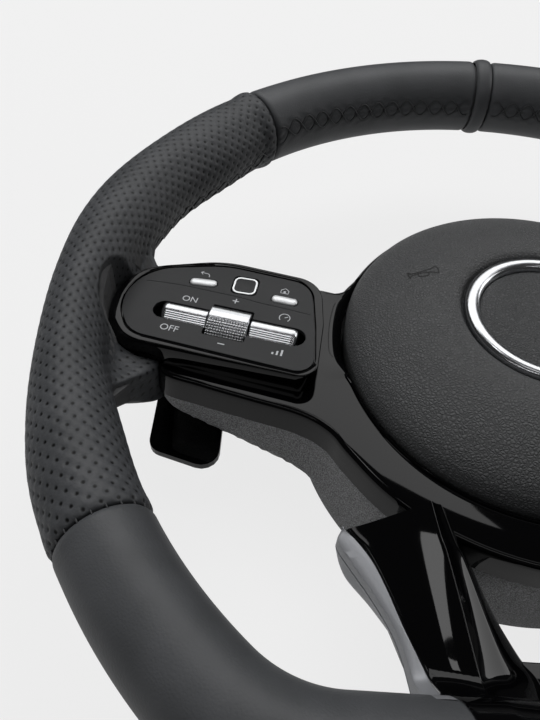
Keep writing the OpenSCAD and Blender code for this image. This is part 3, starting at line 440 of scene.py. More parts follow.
def sleeve(name, start_w, end_w, step, around, swell=(0, 0), perforated=False):
    """A leather sleeve of the left half between two stations, with its ends rolled in."""
    start, end = walked(start_w), walked(end_w)
    walk = np.concatenate([start + np.array([0, 0.15, 0.4, 0.8, 1.3, 1.8]),
                           np.linspace(start + 2.4, end - 2.4, int((end - start) / step)),
                           end - np.array([1.8, 1.3, 0.8, 0.4, 0.15, 0])])
    table = np.linspace(start_w, end_w, 2000)
    w = np.interp(walk, walked(table), table)
    a = np.linspace(-90, 270, around, endpoint=False)
    grid = rim_grid(w, a)
    steps = np.linalg.norm(np.roll(grid, -1, 1) - grid, axis=-1)
    arc = np.concatenate([np.zeros((len(w), 1)), np.cumsum(steps, axis=1)], axis=1)
    arc -= arc[:, around // 2:around // 2 + 1]
    turns = np.append(a, 270)
    seam_arc = np.array([np.interp(angle, turns, row) for angle, row in zip(lace_angle(w), arc)])[:, None]
    relief = hide_relief(walk[:, None], arc[:, :-1], seam_arc, laced_part(w)[:, None], start, end, swell, perforated)
    grid = grid + outward(grid) * relief[..., None]
    inside = rim_grid(w, a, -2.2)
    grid = off_pods(np.concatenate([inside[:1], grid, inside[-1:]]))
    plan = np.stack([np.broadcast_to(walk[:, None], arc.shape), arc], -1) / hole_pitch
    return skin(name, grid, uv=np.concatenate([plan[:1], plan, plan[-1:]]))


def flip_x(piece, name):
    """The mirror image of a piece, for the wheel's right half."""
    made = bpy.data.objects.new(name, piece.data.copy())
    made.data.transform(Matrix.Scale(-1, 4, (1, 0, 0)))
    made.data.flip_normals()
    bpy.context.collection.objects.link(made)
    return made


grip_from, grip_to = 132.5, 212.7
top = sleeve("top_leather_left", 91.5, grip_from - 0.2, 0.75, 132)
fit(flip_x(top, "top_leather_right"), "wheel", "leather_smooth", smooth_leather, "leather_top_right")
fit(top, "wheel", "leather_smooth", smooth_leather, "leather_top_left")
grip = sleeve("grip_leather_left", grip_from + 0.2, grip_to - 0.05, 0.72, 144, (1.0, 0.3), perforated=True)
fit(flip_x(grip, "grip_leather_right"), "wheel", "leather_grip", perforated_leather, "grip_right")
fit(grip, "wheel", "leather_grip", perforated_leather, "grip_left")
bottom = sleeve("bottom_leather", grip_to + 0.05, 541 - grip_to - 0.05, 0.9, 120)
fit(bottom, "wheel", "leather_smooth", smooth_leather, "leather_bottom")

ring_w = np.linspace(90 - 1.35, 90 + 1.35, 15)
ring_a = np.linspace(0, 360, 96, endpoint=False)
ring_rise = 2.2 * np.sqrt(np.clip(1 - ((ring_w - 90) / 1.36) ** 2, 0, 1)) ** 0.8 - 1.0
ring_grid = rim_grid(ring_w, ring_a)
ring_grid = ring_grid + outward(ring_grid) * ring_rise[:, None, None]
fit(skin("marker_band", ring_grid), "wheel", "leather_smooth", smooth_leather, "marker_ring")

# Rim: lacing
# Two waxed threads cross over the seam on the inner side of the rim, all the way round.
def thread(name, points, radius, sides=6):
    """A round thread or wire along a row of points in millimetres."""
    points = np.asarray(points, float)
    way = np.gradient(points, axis=0)
    way /= np.linalg.norm(way, axis=1, keepdims=True)
    side = np.cross(way, [0.13, 0.31, 0.94])
    side /= np.linalg.norm(side, axis=1, keepdims=True)
    other = np.cross(way, side)
    turn = np.linspace(0, 2 * np.pi, sides, endpoint=False)[None, :, None]
    rings = points[:, None] + radius * (np.cos(turn) * side[:, None] + np.sin(turn) * other[:, None])
    return skin(name, rings, caps=True)


def joined(name, parts):
    """One object out of several."""
    mesh = bpy.data.meshes.new(name)
    points, faces, smooth = [], [], []
    for part in parts:
        start = len(points)
        points += [v.co.copy() for v in part.data.vertices]
        faces += [[start + v for v in p.vertices] for p in part.data.polygons]
        smooth += [p.use_smooth for p in part.data.polygons]
        bpy.data.objects.remove(part)
    mesh.from_pydata(points, [], faces)
    mesh.polygons.foreach_set("use_smooth", smooth)
    made = bpy.data.objects.new(name, mesh)
    bpy.context.collection.objects.link(made)
    return made


table_w = np.linspace(90, 451, 8000)
table_walk = walked(table_w)


def on_hide(walk, arc_angle, lift):
    """Points just over the leather, by length along the rim and section angle."""
    w = np.interp(walk, table_walk, table_w)
    points = []
    for one_w, one_a, one_lift in zip(w, arc_angle, np.broadcast_to(lift, w.shape)):
        points.append(rim_grid(np.array([one_w]), np.array([one_a]), one_lift)[0, 0])
    return np.array(points)


def lacing(name, start_w, end_w):
    start, end = walked(start_w) + 3, walked(end_w) - 3
    walk = np.arange(start, end, 0.75)
    threads = []
    for phase in (0, 0.5):
        w = np.interp(walk, table_walk, table_w)
        angle = lace_angle(w) + lace_offset(walk, phase) / section_length * 360
        lift = -0.12 + 0.14 * np.sin(2 * np.pi * (walk / lace_pitch + phase)) - 1.5 * (1 - laced_part(w))
        threads.append(thread(name, on_hide(walk, angle, lift), 0.36))
    return joined(name, threads)


runs = (("top_lacing", 91.5, grip_from), ("upper_lacing", grip_from, 166.5), ("lower_lacing", 193.5, grip_to))
for name, start_w, end_w in runs:
    left = lacing(name + "_left", start_w, end_w)
    fit(flip_x(left, name + "_right"), "wheel", "leather_smooth", waxed_thread)
    fit(left, "wheel", "leather_smooth", waxed_thread)
fit(lacing("bottom_lacing", grip_to, 541 - grip_to), "wheel", "leather_smooth", waxed_thread)

seam_ties = []
for angle in np.arange(4, 356, 16.5):
    if abs(angle - lace_angle(grip_to)) > 12:
        walk = walked(grip_to) + np.linspace(-1.2, 1.2, 7)
        lift = -0.85 + 0.3 * np.cos(np.linspace(-1.4, 1.4, 7))
        seam_ties.append(thread("tie", on_hide(walk, np.full(7, angle), lift), 0.27))
ties = joined("seam_ties_left", seam_ties)
fit(flip_x(ties, "seam_ties_right"), "wheel", "leather_smooth", waxed_thread)
fit(ties, "wheel", "leather_smooth", waxed_thread)

# Airbag cover and badge
# The cover is moulded with a leather grain over the folded airbag. Its badge ring is plated, sits in
# a shallow well and frames a plain disc. The whole module presses in to sound the horn.
def turned(name, profile, steps=160, arc=None):
    """A turned shape from a profile of radii and heights."""
    profile = np.asarray(profile, float)
    turn = np.linspace(0, 2 * np.pi, steps, endpoint=False)[:, None]
    grid = np.stack(np.broadcast_arrays(profile[None, :, 0] * np.cos(turn), profile[None, :, 0] * np.sin(turn), profile[None, :, 1]), -1)
    return skin(name, grid.transpose(1, 0, 2)[::-1])


def shade_creases(finish, scale, dark, light):
    """Darkens the creases between the cells of a moulded grain with painted shade, over a bump of the same pattern."""
    tree = finish.node_tree
    place = node_of(tree, "TexCoord").outputs["Object"]
    bent = node_of(tree, "TexNoise", {"Vector": place, "Scale": scale * 0.7}).outputs["Color"]
    moved = node_of(tree, "MixRGB", {"Fac": 0.0008, "Color1": place, "Color2": bent}, blend_type="ADD").outputs[0]
    edge = node_of(tree, "TexVoronoi", {"Vector": moved, "Scale": scale}, feature="DISTANCE_TO_EDGE").outputs["Distance"]
    spread = node_of(tree, "MapRange", {"Value": edge, "From Min": 0.02, "From Max": 0.3}).outputs[0]
    mix = node_of(tree, "Mix", data_type="RGBA")
    tree.links.new(spread, mix.inputs[0])
    mix.inputs[6].default_value = (*dark, 1)
    mix.inputs[7].default_value = (*light, 1)
    tree.links.new(mix.outputs[2], shader_of(finish).inputs["Base Color"])
    relief = node_of(tree, "Bump", {"Height": spread, "Distance": 0.00017, "Strength": 1.0})
    tree.links.new(relief.outputs[0], shader_of(finish).inputs["Normal"])


cover_skin = new_finish("cover_skin", (0.05, 0.051, 0.053), 0.46, Specular_IOR_Level=0.42)
# Painted shade darkens the creases of the cover's grain.
shade_creases(cover_skin, 860, (0.04, 0.041, 0.042), (0.06, 0.061, 0.063))
grain(cover_skin, 2400, 0.00005)
cover_r, cover_base, cover_edge = 72.6, 44, 60.3
dome = rounded([[cover_r, cover_edge - 1.5], [cover_r, cover_edge], [72.2, 61.7], [71.3, 63.6], [69.9, 65.6], [66, 68.9], [58, 73.1], [48, 76.7], [40, 77.9],
                [35, 77.6], [32.8, 76.6], [31.8, 75.2]])
cover = turned("cover_moulding", np.concatenate([[[70, cover_base], [cover_r, cover_base]], dome, [[31.6, 74.4], [31.5, 73.9], [0.01, 73.9]]]), 200)
fit(cover, "airbag_module", "cover_skin", cover_skin, "airbag_cover")


def cover_height(x, y):
    r = np.hypot(x, y)
    order = np.argsort(dome[:, 0])
    return np.interp(r, dome[order, 0], dome[order, 1])


plated = new_finish("plated_ring", (0.64, 0.65, 0.67), 0.2, Metallic=1.0)
grain(plated, 260, 0.00004)
ring_profile = [[25.2, 73.2], [25.2, 75], [25.5, 76.2], [26.1, 77], [27, 77.4], [28.2, 77.6], [29.5, 77.5], [30.5, 76.9],
                [31, 75.9], [31.1, 73.4]]
ring = turned("plated_ring", rounded(ring_profile, 4), 180)
fit(ring, "airbag_module", "silver_trim", plated, "badge_ring")
badge_skin = new_finish("badge_skin", (0.042, 0.043, 0.046), 0.46, Specular_IOR_Level=0.4)
# Painted shade darkens the creases of the disc's grain.
shade_creases(badge_skin, 900, (0.028, 0.029, 0.03), (0.05, 0.051, 0.053))
disc = turned("plain_disc", rounded([[25.1, 73.6], [25, 74.6], [24.2, 75.1], [18, 75.9], [10, 76.3], [0.01, 76.4]], 5), 120)
fit(disc, "airbag_module", "satin_black", badge_skin, "badge_disc")

# Plain horn sign, pressed into the cover. Its groove is not cut: a near-black line lies just over the cover, with the
# groove's shade painted into its colour.
groove_shade = new_finish("painted_groove_shade", (0.006, 0.006, 0.006), 0.6)
grain(groove_shade, 900, 0.00005)


def drawn_line(name, points, width, height_at, lift=0.04, closed=False):
    """A flat line of even width on a surface whose height is a function of x and y."""
    p = np.asarray(points, float)
    way = np.gradient(p, axis=0) if not closed else np.roll(p, -1, 0) - np.roll(p, 1, 0)
    way /= np.linalg.norm(way, axis=1, keepdims=True)
    side = np.stack([way[:, 1], -way[:, 0]], 1) * width / 2
    edges = np.stack([p + side, p - side], 1)
    grid = np.concatenate([edges, height_at(edges[..., 0], edges[..., 1])[..., None] + lift], -1)
    return skin(name, grid, closed=False, looped=closed)


horn_at, horn_turn = np.array([-44.3, 19.4]), math.radians(10)
horn_lines = [
    [[-5.6, 1.9], [-5.0, 0.6], [-3.6, 0.4], [-1, 0.4], [1.5, 0.7], [3.4, 1.1], [5.4, 2.2]],
    [[-5.6, -2.3], [-5.0, -0.9], [-3.6, -0.6], [-1, -0.6], [1.5, -0.8], [3.4, -1.3], [5.4, -2.4]],
    [[-5.6, 1.9], [-5.9, -0.2], [-5.6, -2.3]], [[5.4, 2.2], [5.9, 0], [5.4, -2.4]],
    [[-2, -0.7], [-2.4, -1.7], [-1.8, -2.6], [-0.3, -2.8], [1.2, -2.6], [1.7, -1.8], [1.3, -0.9]],
]
turn = np.array([[math.cos(horn_turn), math.sin(horn_turn)], [-math.sin(horn_turn), math.cos(horn_turn)]])
marks = [drawn_line("horn_sign", rounded(np.array(line) * 0.95 @ turn + horn_at, 5), 0.5, cover_height, 0.12) for line in horn_lines]
fit(joined("horn_sign", marks), "airbag_module", "cover_skin", groove_shade)

# Front shroud
# One injection moulding in piano black frames the airbag cover and runs out under both switch
# pods. It clips onto the rear cover along the split line.
lip_r, hub_r, shroud_z, split_z, spoke_end = 73.6, 89, 58, 46, 141.5
spoke_shape = [[0.045, 25], [0.254, 29], [0.522, 31], [0.82, 31], [1, 29], [1, 15], [1, 0], [1, -11],
               [1, -22], [0.75, -27], [0.478, -32], [0.209, -37], [0.06, -43]]


def polar(radius, degrees):
    return [radius * math.cos(math.radians(degrees)), radius * math.sin(math.radians(degrees))]


def mirrored_loop(half):
    """A whole outline from its left half, which starts at the top and ends at the bottom."""
    half = np.asarray(half, float)
    return np.concatenate([half, half[-2:0:-1] * [-1, 1]])


def even(points, step):
    """Points at even steps along a line."""
    p = np.asarray(points, float)
    walk = np.concatenate([[0], np.cumsum(np.linalg.norm(np.diff(p, axis=0), axis=1))])
    at = np.linspace(0, walk[-1], int(walk[-1] / step) + 1)
    return np.stack([np.interp(at, walk, p[:, j]) for j in range(p.shape[1])], 1)


half_hub = [polar(lip_r + 1.4, a) for a in range(90, 151, 10)] + [polar(lip_r + 2, 158)]
for d, y in spoke_shape:
    x = -(lip_r + 1.4 + d * (spoke_end - lip_r - 1.4))
    reach = min(math.hypot(x, y), spoke_end) / math.hypot(x, y)
    half_hub.append([x * reach, y * reach])
half_hub += [polar(hub_r, a) for a in range(215, 271, 11)]
hub_outline = mirrored_loop(even(rounded(half_hub, 10), 2.0))


def loop_normals(outline):
    way = np.roll(outline, -1, 0) - np.roll(outline, 1, 0)
    way /= np.linalg.norm(way, axis=1, keepdims=True)
    return np.stack([way[:, 1], -way[:, 0]], 1)


def moved_in(outline, distance, least_r=0.0):
    """An outline moved inwards, but kept outside a radius."""
    moved = outline - loop_normals(outline) * distance
    r = np.linalg.norm(moved, axis=1, keepdims=True)
    at_r = outline / np.linalg.norm(outline, axis=1, keepdims=True) * least_r
    return np.where(r < least_r, at_r, moved)


def at_radius(outline, radius):
    return outline / np.linalg.norm(outline, axis=1, keepdims=True) * radius


def stacked(name, levels, caps=False):
    """A skin through outlines of equal length, each given with its height, from below to above."""
    grid = np.stack([np.concatenate([line, np.broadcast_to(z, len(line))[:, None]], 1) for line, z in levels])
    return skin(name, grid[::-1], caps=caps)


def crisp(piece, degrees=28):
    """Keeps edges that bend more than an angle sharp in the shading."""
    piece.data.set_sharp_from_angle(angle=math.radians(degrees))
    return piece


piano_black = new_finish("piano_black", (0.001, 0.001, 0.0012), 0.04, Specular_IOR_Level=0.34)
grain(piano_black, 14, 0.00005, detail=1.0)
brow_share = [0.0, 0.12, 0.3, 0.55, 0.8, 1.0]
shroud_levels = [
    (moved_in(hub_outline, 2.2, lip_r + 0.9), split_z + 2), (moved_in(hub_outline, 0.4), split_z + 0.05),
    (moved_in(hub_outline, -0.5), split_z + 0.1), (moved_in(hub_outline, -0.8), split_z + 0.5),
    (moved_in(hub_outline, -0.45), 50), (moved_in(hub_outline, -0.1), 55.4), (moved_in(hub_outline, 0.05), 56.4),
    (moved_in(hub_outline, 0.35, lip_r + 1.2), 57.2), (moved_in(hub_outline, 0.9, lip_r + 1.1), 57.8),
    (moved_in(hub_outline, 1.6, lip_r + 1.05), 58.05),
]
round_hub = np.degrees(np.arctan2(hub_outline[:, 1], abs(hub_outline[:, 0])))
falls = ease(1.6 - abs(round_hub - 4) / 15)
face_out = moved_in(hub_outline, 1.8, lip_r + 1.05)
face_in = at_radius(hub_outline, (lip_r + 1.0 + 3.2 * falls)[:, None])
for share in brow_share:
    shroud_levels.append((face_out * (1 - share) + face_in * share, 58.08 + 0.2 * math.sin(math.pi * share)))
for out, z, drop in ((0.85, 58.5, 0.7), (0.7, 59, 1.6), (0.45, 59.2, 2.5), (0.15, 59.1, 3.4), (0, 58.8, 4.2), (0, 54, 0.5)):
    shroud_levels.append((at_radius(hub_outline, (lip_r + out * (1 + 3 * falls))[:, None]), z - drop * falls))
shroud = stacked("shroud_moulding", shroud_levels)
fit(crisp(shroud, 40), "wheel", "gloss_black", piano_black, "front_shroud")

# Rear cover
# The bowl behind the hub is moulded in grained grey plastic and screwed to the hub plate.
speckled_grey = new_finish("speckled_grey", (0.12, 0.121, 0.123), 0.62, Specular_IOR_Level=0.35)
mottle(speckled_grey, (0.08, 0.081, 0.083), (0.28, 0.283, 0.288), 2200, 0.42, 0.6)
grain(speckled_grey, 1700, 0.00025)
cover_z = np.array([0, 3, 12, 20, 32, 38.6, 45.8])
cover_reach = np.array([84, 87, 88.4, 89, 118, 141.5, 141.5])
rear_z = np.concatenate([[0, 0.5, 1.2], np.linspace(2, 44.6, 26), [45.4, 45.8]])
rear_reach = np.interp(rear_z, cover_z, cover_reach)
rear_reach = np.convolve(np.pad(rear_reach, 2, mode="edge"), np.ones(5) / 5, mode="valid")
rear_reach[0] -= 1.5
rear_reach[1] -= 0.6
outline_r = np.linalg.norm(hub_outline, axis=1)
rear_levels = [(at_radius(hub_outline, 49), 2.5), (at_radius(hub_outline, 49), 0.0)]
for z, reach in zip(rear_z, rear_reach):
    inner = 0.4 if z > 45.5 else 0.0
    rear_levels.append((at_radius(hub_outline, 1.0) * np.minimum(outline_r, reach)[:, None] * (1 - inner / 100), z))
rear_levels.append((moved_in(hub_outline, 2.6), 45.8))
rear = stacked("rear_bowl", rear_levels)
fit(crisp(rear, 50), "wheel", "moulded_grey", speckled_grey, "rear_cover")

# Lower spoke
# Two legs of one gloss moulding run from the hub to the flat of the rim, with a bridge between
# their feet. Each leg has a hollow face, a sharp ridge and a bevel towards the opening.
leg_table = np.array([
    [-60, 90, 51.5, 48, 44.5], [-66, 86, 50.5, 46.5, 42], [-82, 74.7, 48.3, 42.8, 36.5], [-88, 69.2, 47, 40.5, 34.5],
    [-101, 63.1, 45.2, 37.6, 30], [-112, 58.9, 43.9, 35.3, 24.5], [-118, 56.2, 43.2, 34, 21], [-129, 52, 42, 31.8, 20],
    [-134, 50.5, 41.5, 31, 19.5]])[::-1]
leg_fine = rounded(leg_table, 10)
leg_z, leg_foot = 65, 38


def leg_values(y):
    return [np.interp(y, leg_fine[:, 0], leg_fine[:, j]) for j in range(1, 5)]


def leg_point(y, k):
    """A point of the leg's section at each y. The share k runs from the outer foot over the face to the inner foot."""
    outer, ridge, bevel, foot = leg_values(y)
    if k < 0.2:
        t = k / 0.2
        return -outer + 3.5 * (1 - t), leg_foot + (leg_z - 0.8 - leg_foot) * t
    if k < 0.25:
        t = (k - 0.2) / 0.05
        return -outer + 0.7 * t**2, leg_z - 0.8 + 0.8 * math.sin(math.pi / 2 * t)
    if k < 0.6:
        t = (k - 0.25) / 0.35
        return -(outer - 0.7) * (1 - t) - ridge * t, leg_z - 1.0 * t + 3.5 * t**2.2
    if k < 0.62:
        t = (k - 0.6) / 0.02
        return -ridge + 0.5 * t, leg_z + 2.5 + 0.12 * math.sin(math.pi * t) - 0.05 * t
    if k < 0.78:
        t = (k - 0.62) / 0.16
        return -ridge + 0.5 + (ridge - 0.5 - bevel) * t, leg_z + 2.45 - 4.45 * t - 0.5 * math.sin(math.pi * t)
    if k < 0.9:
        t = (k - 0.78) / 0.12
        return -bevel + (bevel - foot) * (1 - (1 - t) ** 1.8), leg_z - 2 - 14 * t
    t = (k - 0.9) / 0.1
    return -foot - t, leg_z - 16 + (leg_foot - leg_z + 16) * t


def over_rim(y, z, above):
    """How far a surface at z climbs to lie a little above the leather at y."""
    section = 17.5 * np.sqrt(np.clip(1 - ((y + flat_y) / 15) ** 2, 0, 1))
    leather = rim_z + np.where(y < -flat_y + 15, section, -1.2 * (y + flat_y - 15))
    gap = leather + above - z
    return (gap + np.sqrt(gap**2 + 4)) / 2


seam_a, seam_b = np.array([-74.6, -82.1]), np.array([-39.6, -68.9])
seam_slope = (seam_b[1] - seam_a[1]) / (seam_b[0] - seam_a[0])
leg_k = np.concatenate([np.linspace(0, 0.2, 5), np.linspace(0.2, 0.25, 5)[1:], np.linspace(0.25, 0.6, 26)[1:],
                        [0.605, 0.61, 0.615, 0.62], np.linspace(0.62, 0.78, 11)[1:], np.linspace(0.78, 0.9, 12)[1:],
                        np.linspace(0.9, 1, 4)[1:]])
columns = []
for k in leg_k:
    top = np.array([-75.0])
    for _ in range(8):
        x, _z = leg_point(top, k)
        top = np.clip(seam_a[1] + seam_slope * (x - seam_a[0]), -83, -60)
    y = np.linspace(top[0], -137 - 7 * max(0, 1 - k / 0.5), 64)
    x, z = leg_point(y, k)
    z = z + over_rim(y, z, float(np.interp(k, [0, 0.2, 0.25, 0.6, 0.62, 0.78, 1], [0, 0.5, 1, 2, 2, 0.7, 0]))) * float(
        np.interp(k, [0, 0.2, 0.78, 0.9, 1], [0, 1, 1, 0, 0]))
    columns.append(np.stack([x, y, np.broadcast_to(z, y.shape)], 1))
leg_grid = np.stack(columns, 1)
end = leg_grid[:1].copy()
end[..., 2] = np.minimum(end[..., 2], 57.5)
leg_grid = np.concatenate([end, leg_grid])
leg_left = skin("leg_left", leg_grid[:, ::-1], closed=True)
leg_right = flip_x(leg_left, "leg_right")
bridge = stacked("bridge", [(np.array([[-30, -134], [30, -134], [30, -y0], [-30, -y0]], float), z) for y0, z in
                            ((115, 46), (113.4, 46.4), (113, 47), (113, 54.6), (113.3, 55.6), (114.2, 56))], caps=True)
trim = joined("spoke_moulding", [leg_left, leg_right, bridge])
fit(crisp(trim, 32), "wheel", "gloss_black", piano_black, "lower_spoke_trim")

# Satin plated accents clip onto the outer flank of each leg.
satin_plated = new_finish("satin_plated", (0.26, 0.265, 0.28), 0.38, Metallic=0.45)
grain(satin_plated, 1200, 0.00002)
accent_table = np.array([
    [-81.5, 75.2, 75.6, 75.4], [-82.6, 74.6, 76.4, 76], [-86, 71.2, 77.3, 76.4], [-92, 67, 73.6, 74.2], [-100, 63.4, 68.1, 67.4],
    [-109, 60, 62.9, 61], [-116, 57, 60.4, 58.2], [-124.4, 53.6, 58.6, 56], [-129.5, 52, 57.6, 55.4]])[::-1]
accent_fine = rounded(accent_table, 8)[::-1]
rows = []
for y, inner, outer, lower in accent_fine:
    rows.append([[-inner + 1.6, y, 51], [-inner - 0.2, y, 64.6], [-inner - 0.4, y, 65], [-inner - 0.8, y, 65.15],
                 [-(inner + outer) / 2, y, 65], [-outer + 0.5, y, 64.7], [-outer + 0.1, y, 64.4], [-outer, y, 63.9],
                 [-outer - 0.02, y, 60.6], [-outer + 0.25, y, 60.3], [-outer + 0.25, y, 60.0], [-outer - 0.05, y, 59.7],
                 [-(outer + lower) / 2, y, 57], [-lower, y, 54.6], [-lower + 0.6, y, 52.4], [-lower + 2, y, 51]])
    climb = float(over_rim(y, 65, 0.3))
    for point in rows[-1][1:8]:
        point[2] += climb
accent = skin("accent_left", np.array(rows), caps=True)
crisp(accent, 35)
fit(flip_x(accent, "accent_right"), "wheel", "silver_trim", satin_plated, "lower_accent_right")
fit(accent, "wheel", "silver_trim", satin_plated, "lower_accent_left")

# Switch pods: frame and fascia
# Each pod is a gloss frame over a tray with a circuit board. A satin fascia sits inside the frame's
# bezel, cut out for one row of rockers, two push buttons and a touch pad.
pod_in, pod_out, pod_z = 81.6, 162, 67
crest_circles = [[-139.9, 4.3, 21.3], [-144.3, -1.2, 14.5], [-90, -20.7, 6.6],
                 [-88.9, -2, 7.4], [-93.7, 11, 11.8], [-122, -11.3, 40]]
fascia_circles = [[-137.5, 4.6, 20], [-144.5, -1, 11.3], [-91.1, -18.5, 6.3],
                  [-92.4, -4, 7.6], [-95.2, 11.2, 9.6], [-122.5, -11.6, 38]]
flank_circles = [[-141.4, 3.6, 21.9], [-148, -0.9, 14.9], [-90, -20.7, 6.8],
                 [-88.9, -2, 7.5], [-93.7, 11, 11.9], [-122, -11.3, 40.2]]
fascia_top, fascia_base = 66.7, 65.1
row_at = np.array([-(pod_in + pod_out) / 2 + 5, -3.9])
row_lean = math.radians(-11.7)


def belt(circles, grow=0.0, steps=14):
    """An outline of circles joined by tangents, as a belt round pulleys."""
    c = np.asarray(circles, float)
    n = len(c)

    def heading(a, b):
        d = b[:2] - a[:2]
        return math.degrees(math.atan2(d[1], d[0]) - math.acos((a[2] - b[2]) / np.hypot(*d)))
    out = []
    for i in range(n):
        a = heading(c[i - 1], c[i])
        turn = (heading(c[i], c[(i + 1) % n]) - a + 720) % 360
        for t in np.linspace(a, a + turn, steps):
            out.append(c[i, :2] + (c[i, 2] + grow) * np.array([math.cos(math.radians(t)), math.sin(math.radians(t))]))
    return np.array(out)


tray = [belt(crest_circles, -4), belt(crest_circles, -1.8)]
for line in tray:
    line[:, 0] = np.maximum(line[:, 0], -148.2)
frame_levels = [(belt(crest_circles, -6), 50), (tray[0], 50), (tray[0], 50.2), (tray[1], 57.6), (belt(flank_circles), 58.2)]
for angle in (90, 75, 60, 45, 30, 15, 0):
    out = math.sin(math.radians(angle))
    line = belt(crest_circles, 0.12) * (1 - out) + belt(flank_circles, 0.1) * out
    frame_levels.append((line, 61.5 + 5.1 * math.cos(math.radians(angle))))
for grow, z in ((0.06, 66.85), (-0.06, 67.0), (-0.25, 67.08), (-0.6, 67.1)):
    frame_levels.append((belt(crest_circles, grow), z))
for grow, z in ((1.3, 66.92), (0.75, 66.85), (0.52, 66.72), (0.42, 66.5), (0.4, 64.9), (-0.8, 64.8)):
    frame_levels.append((belt(fascia_circles, grow), z))
frame_piece = crisp(stacked("pod_bezel_left", frame_levels), 50)


def tile(length, width, r, grow=0.0):
    x, y = length / 2 + grow - r - grow, width / 2 + grow - r - grow
    return belt([[-x, y, r], [-x, -y, r], [x, -y, r], [x, y, r]], grow, 8)


def placed(outline, at, lean):
    c, s = math.cos(lean), math.sin(lean)
    return np.asarray(outline) @ np.array([[c, s], [-s, c]]) + np.asarray(at)


bar_l, bar_w, roller_l, roller_w = 18, 6.6, 15.5, 13.3
bar_middle = roller_l / 2 + 0.6 + bar_l / 2
slot_w, slot_l = 8.6, 58.6
gate_l, gate_w = roller_l / 2 + 0.3, roller_w / 2 + 1.1
half_slot, r = slot_l / 2 - slot_w / 2, slot_w / 2
right_end = [[half_slot + r * math.cos(t), r * math.sin(t)] for t in np.linspace(-math.pi / 2, math.pi / 2, 14)]
left_end = [[-x, -y] for x, y in right_end]
slot_line = (right_end + [[gate_l + 0.3, r], [gate_l, r + 0.3], [gate_l, gate_w - 0.5], [gate_l - 0.5, gate_w], [-gate_l + 0.5, gate_w], [-gate_l, gate_w - 0.5], [-gate_l, r + 0.3], [-gate_l - 0.3, r]]
             + left_end + [[-gate_l - 0.3, -r], [-gate_l, -r - 0.3], [-gate_l, -gate_w + 0.5], [-gate_l + 0.5, -gate_w], [gate_l - 0.5, -gate_w], [gate_l, -gate_w + 0.5], [gate_l, -r - 0.3], [gate_l + 0.3, -r]])
row = placed(slot_line, row_at, row_lean)
buttons = {"back_button": [row_at[0] - 11.5, 16.7, 10.5, 3.6, -5], "home_button": [row_at[0] + 20.4, 9.4, 10, 3.6, -12],
           "touch_pad": [row_at[0] + 4.8, 16.2, 9.5, 9, -8]}


def button_line(b, grow, r=1.6):
    return placed(tile(b[2], b[3], r, grow), b[:2], math.radians(b[4]))


def plate(name, outline, holes, base, top, edge=0.12):
    """A flat plate with holes, its upper edges broken by a small bevel."""
    import bmesh
    bm = bmesh.new()
    rims, parts = [], []
    for line, side in [(outline, 1)] + [(h, -1) for h in holes]:
        line = np.asarray(line, float)
        inset_line = line - loop_normals(line) * edge * side
        loops = []
        for l, z in ((inset_line, top), (line, top - edge), (line, base)):
            loops.append([bm.verts.new((x * MM, y * MM, z * MM)) for x, y in l])
        n = len(line)
        for a, b in zip(loops[:-1], loops[1:]):
            for i in range(n):
                j = (i + 1) % n
                bm.faces.new((a[i], b[i], b[j], a[j]) if side > 0 else (a[i], a[j], b[j], b[i]))
        rims += [bm.edges.get((loops[0][i], loops[0][(i + 1) % n])) for i in range(n)]
        parts += [bm.edges.get((loops[-1][i], loops[-1][(i + 1) % n])) for i in range(n)]
    for edges in (rims, parts):
        bmesh.ops.triangle_fill(bm, use_beauty=True, use_dissolve=False, edges=edges)
    bmesh.ops.recalc_face_normals(bm, faces=bm.faces)
    mesh = bpy.data.meshes.new(name)
    bm.to_mesh(mesh)
    bm.free()
    made = bpy.data.objects.new(name, mesh)
    bpy.context.collection.objects.link(made)
    return made


satin_black = new_finish("satin_black", (0.011, 0.0115, 0.0125), 0.42, Specular_IOR_Level=0.34)
mottle(satin_black, (0.01, 0.0105, 0.0115), (0.013, 0.0135, 0.0145), 40)
grain(satin_black, 5000, 0.00002)
holes = [row] + [button_line(b, 0.35) for b in buttons.values()]
fascia = plate("fascia_left", belt(fascia_circles), holes, fascia_base, fascia_top)
crease = rounded([[-150.5, 16.0], [-147.8, 16.1], [-136, 14.6], [-123.8, 12], [-114, 9.9], [-105.7, 7.5], [-96, 5.2], [-86.5, 2.8]], 8)


def over_fascia(x, y):
    return np.full(np.shape(x), fascia_top)


def low_ridge(name, line, width, height, z):
    """A thin ridge of three facets along a line."""
    p = np.asarray(line, float)
    way = np.gradient(p, axis=0)
    way /= np.linalg.norm(way, axis=1, keepdims=True)
    side = np.stack([way[:, 1], -way[:, 0]], 1)
    rows = [np.concatenate([p + side * width * a, np.full((len(p), 1), z + height * b)], 1)
            for a, b in ((-0.5, -0.5), (-0.3, 0.7), (0, 1), (0.5, -0.5))]
    return skin(name, np.stack(rows, 1)[:, ::-1], closed=False)


crease_ridge = low_ridge("crease", crease, 0.7, 0.1, fascia_top)
fascia = joined("fascia_left", [fascia, crease_ridge])
fit(flip_x(crisp(frame_piece, 50), "pod_bezel_right"), "wheel", "gloss_black", piano_black, "pod_frame_right")
fit(frame_piece, "wheel", "gloss_black", piano_black, "pod_frame_left")
fit(flip_x(crisp(fascia, 20), "fascia_right"), "wheel", "satin_black", satin_black, "pod_fascia_right")
fit(crisp(fascia, 20), "wheel", "satin_black", satin_black, "pod_fascia_left")

# Switch pods: rockers
# Two plated bars and a knurled roller turn on one pin. The bars' faces are finely ribbed, and the
# roller has a polished lip over its knurled drum.
pin_z = 60.5


def along_row(points, at=0.0):
    """Moves points given along the row, across it and up into the pod."""
    p = np.asarray(points, float) + [at, 0, 0]
    flat = placed(p[..., :2].reshape(-1, 2), row_at, row_lean).reshape(p.shape[:-1] + (2,))
    return np.concatenate([flat, p[..., 2:]], -1)


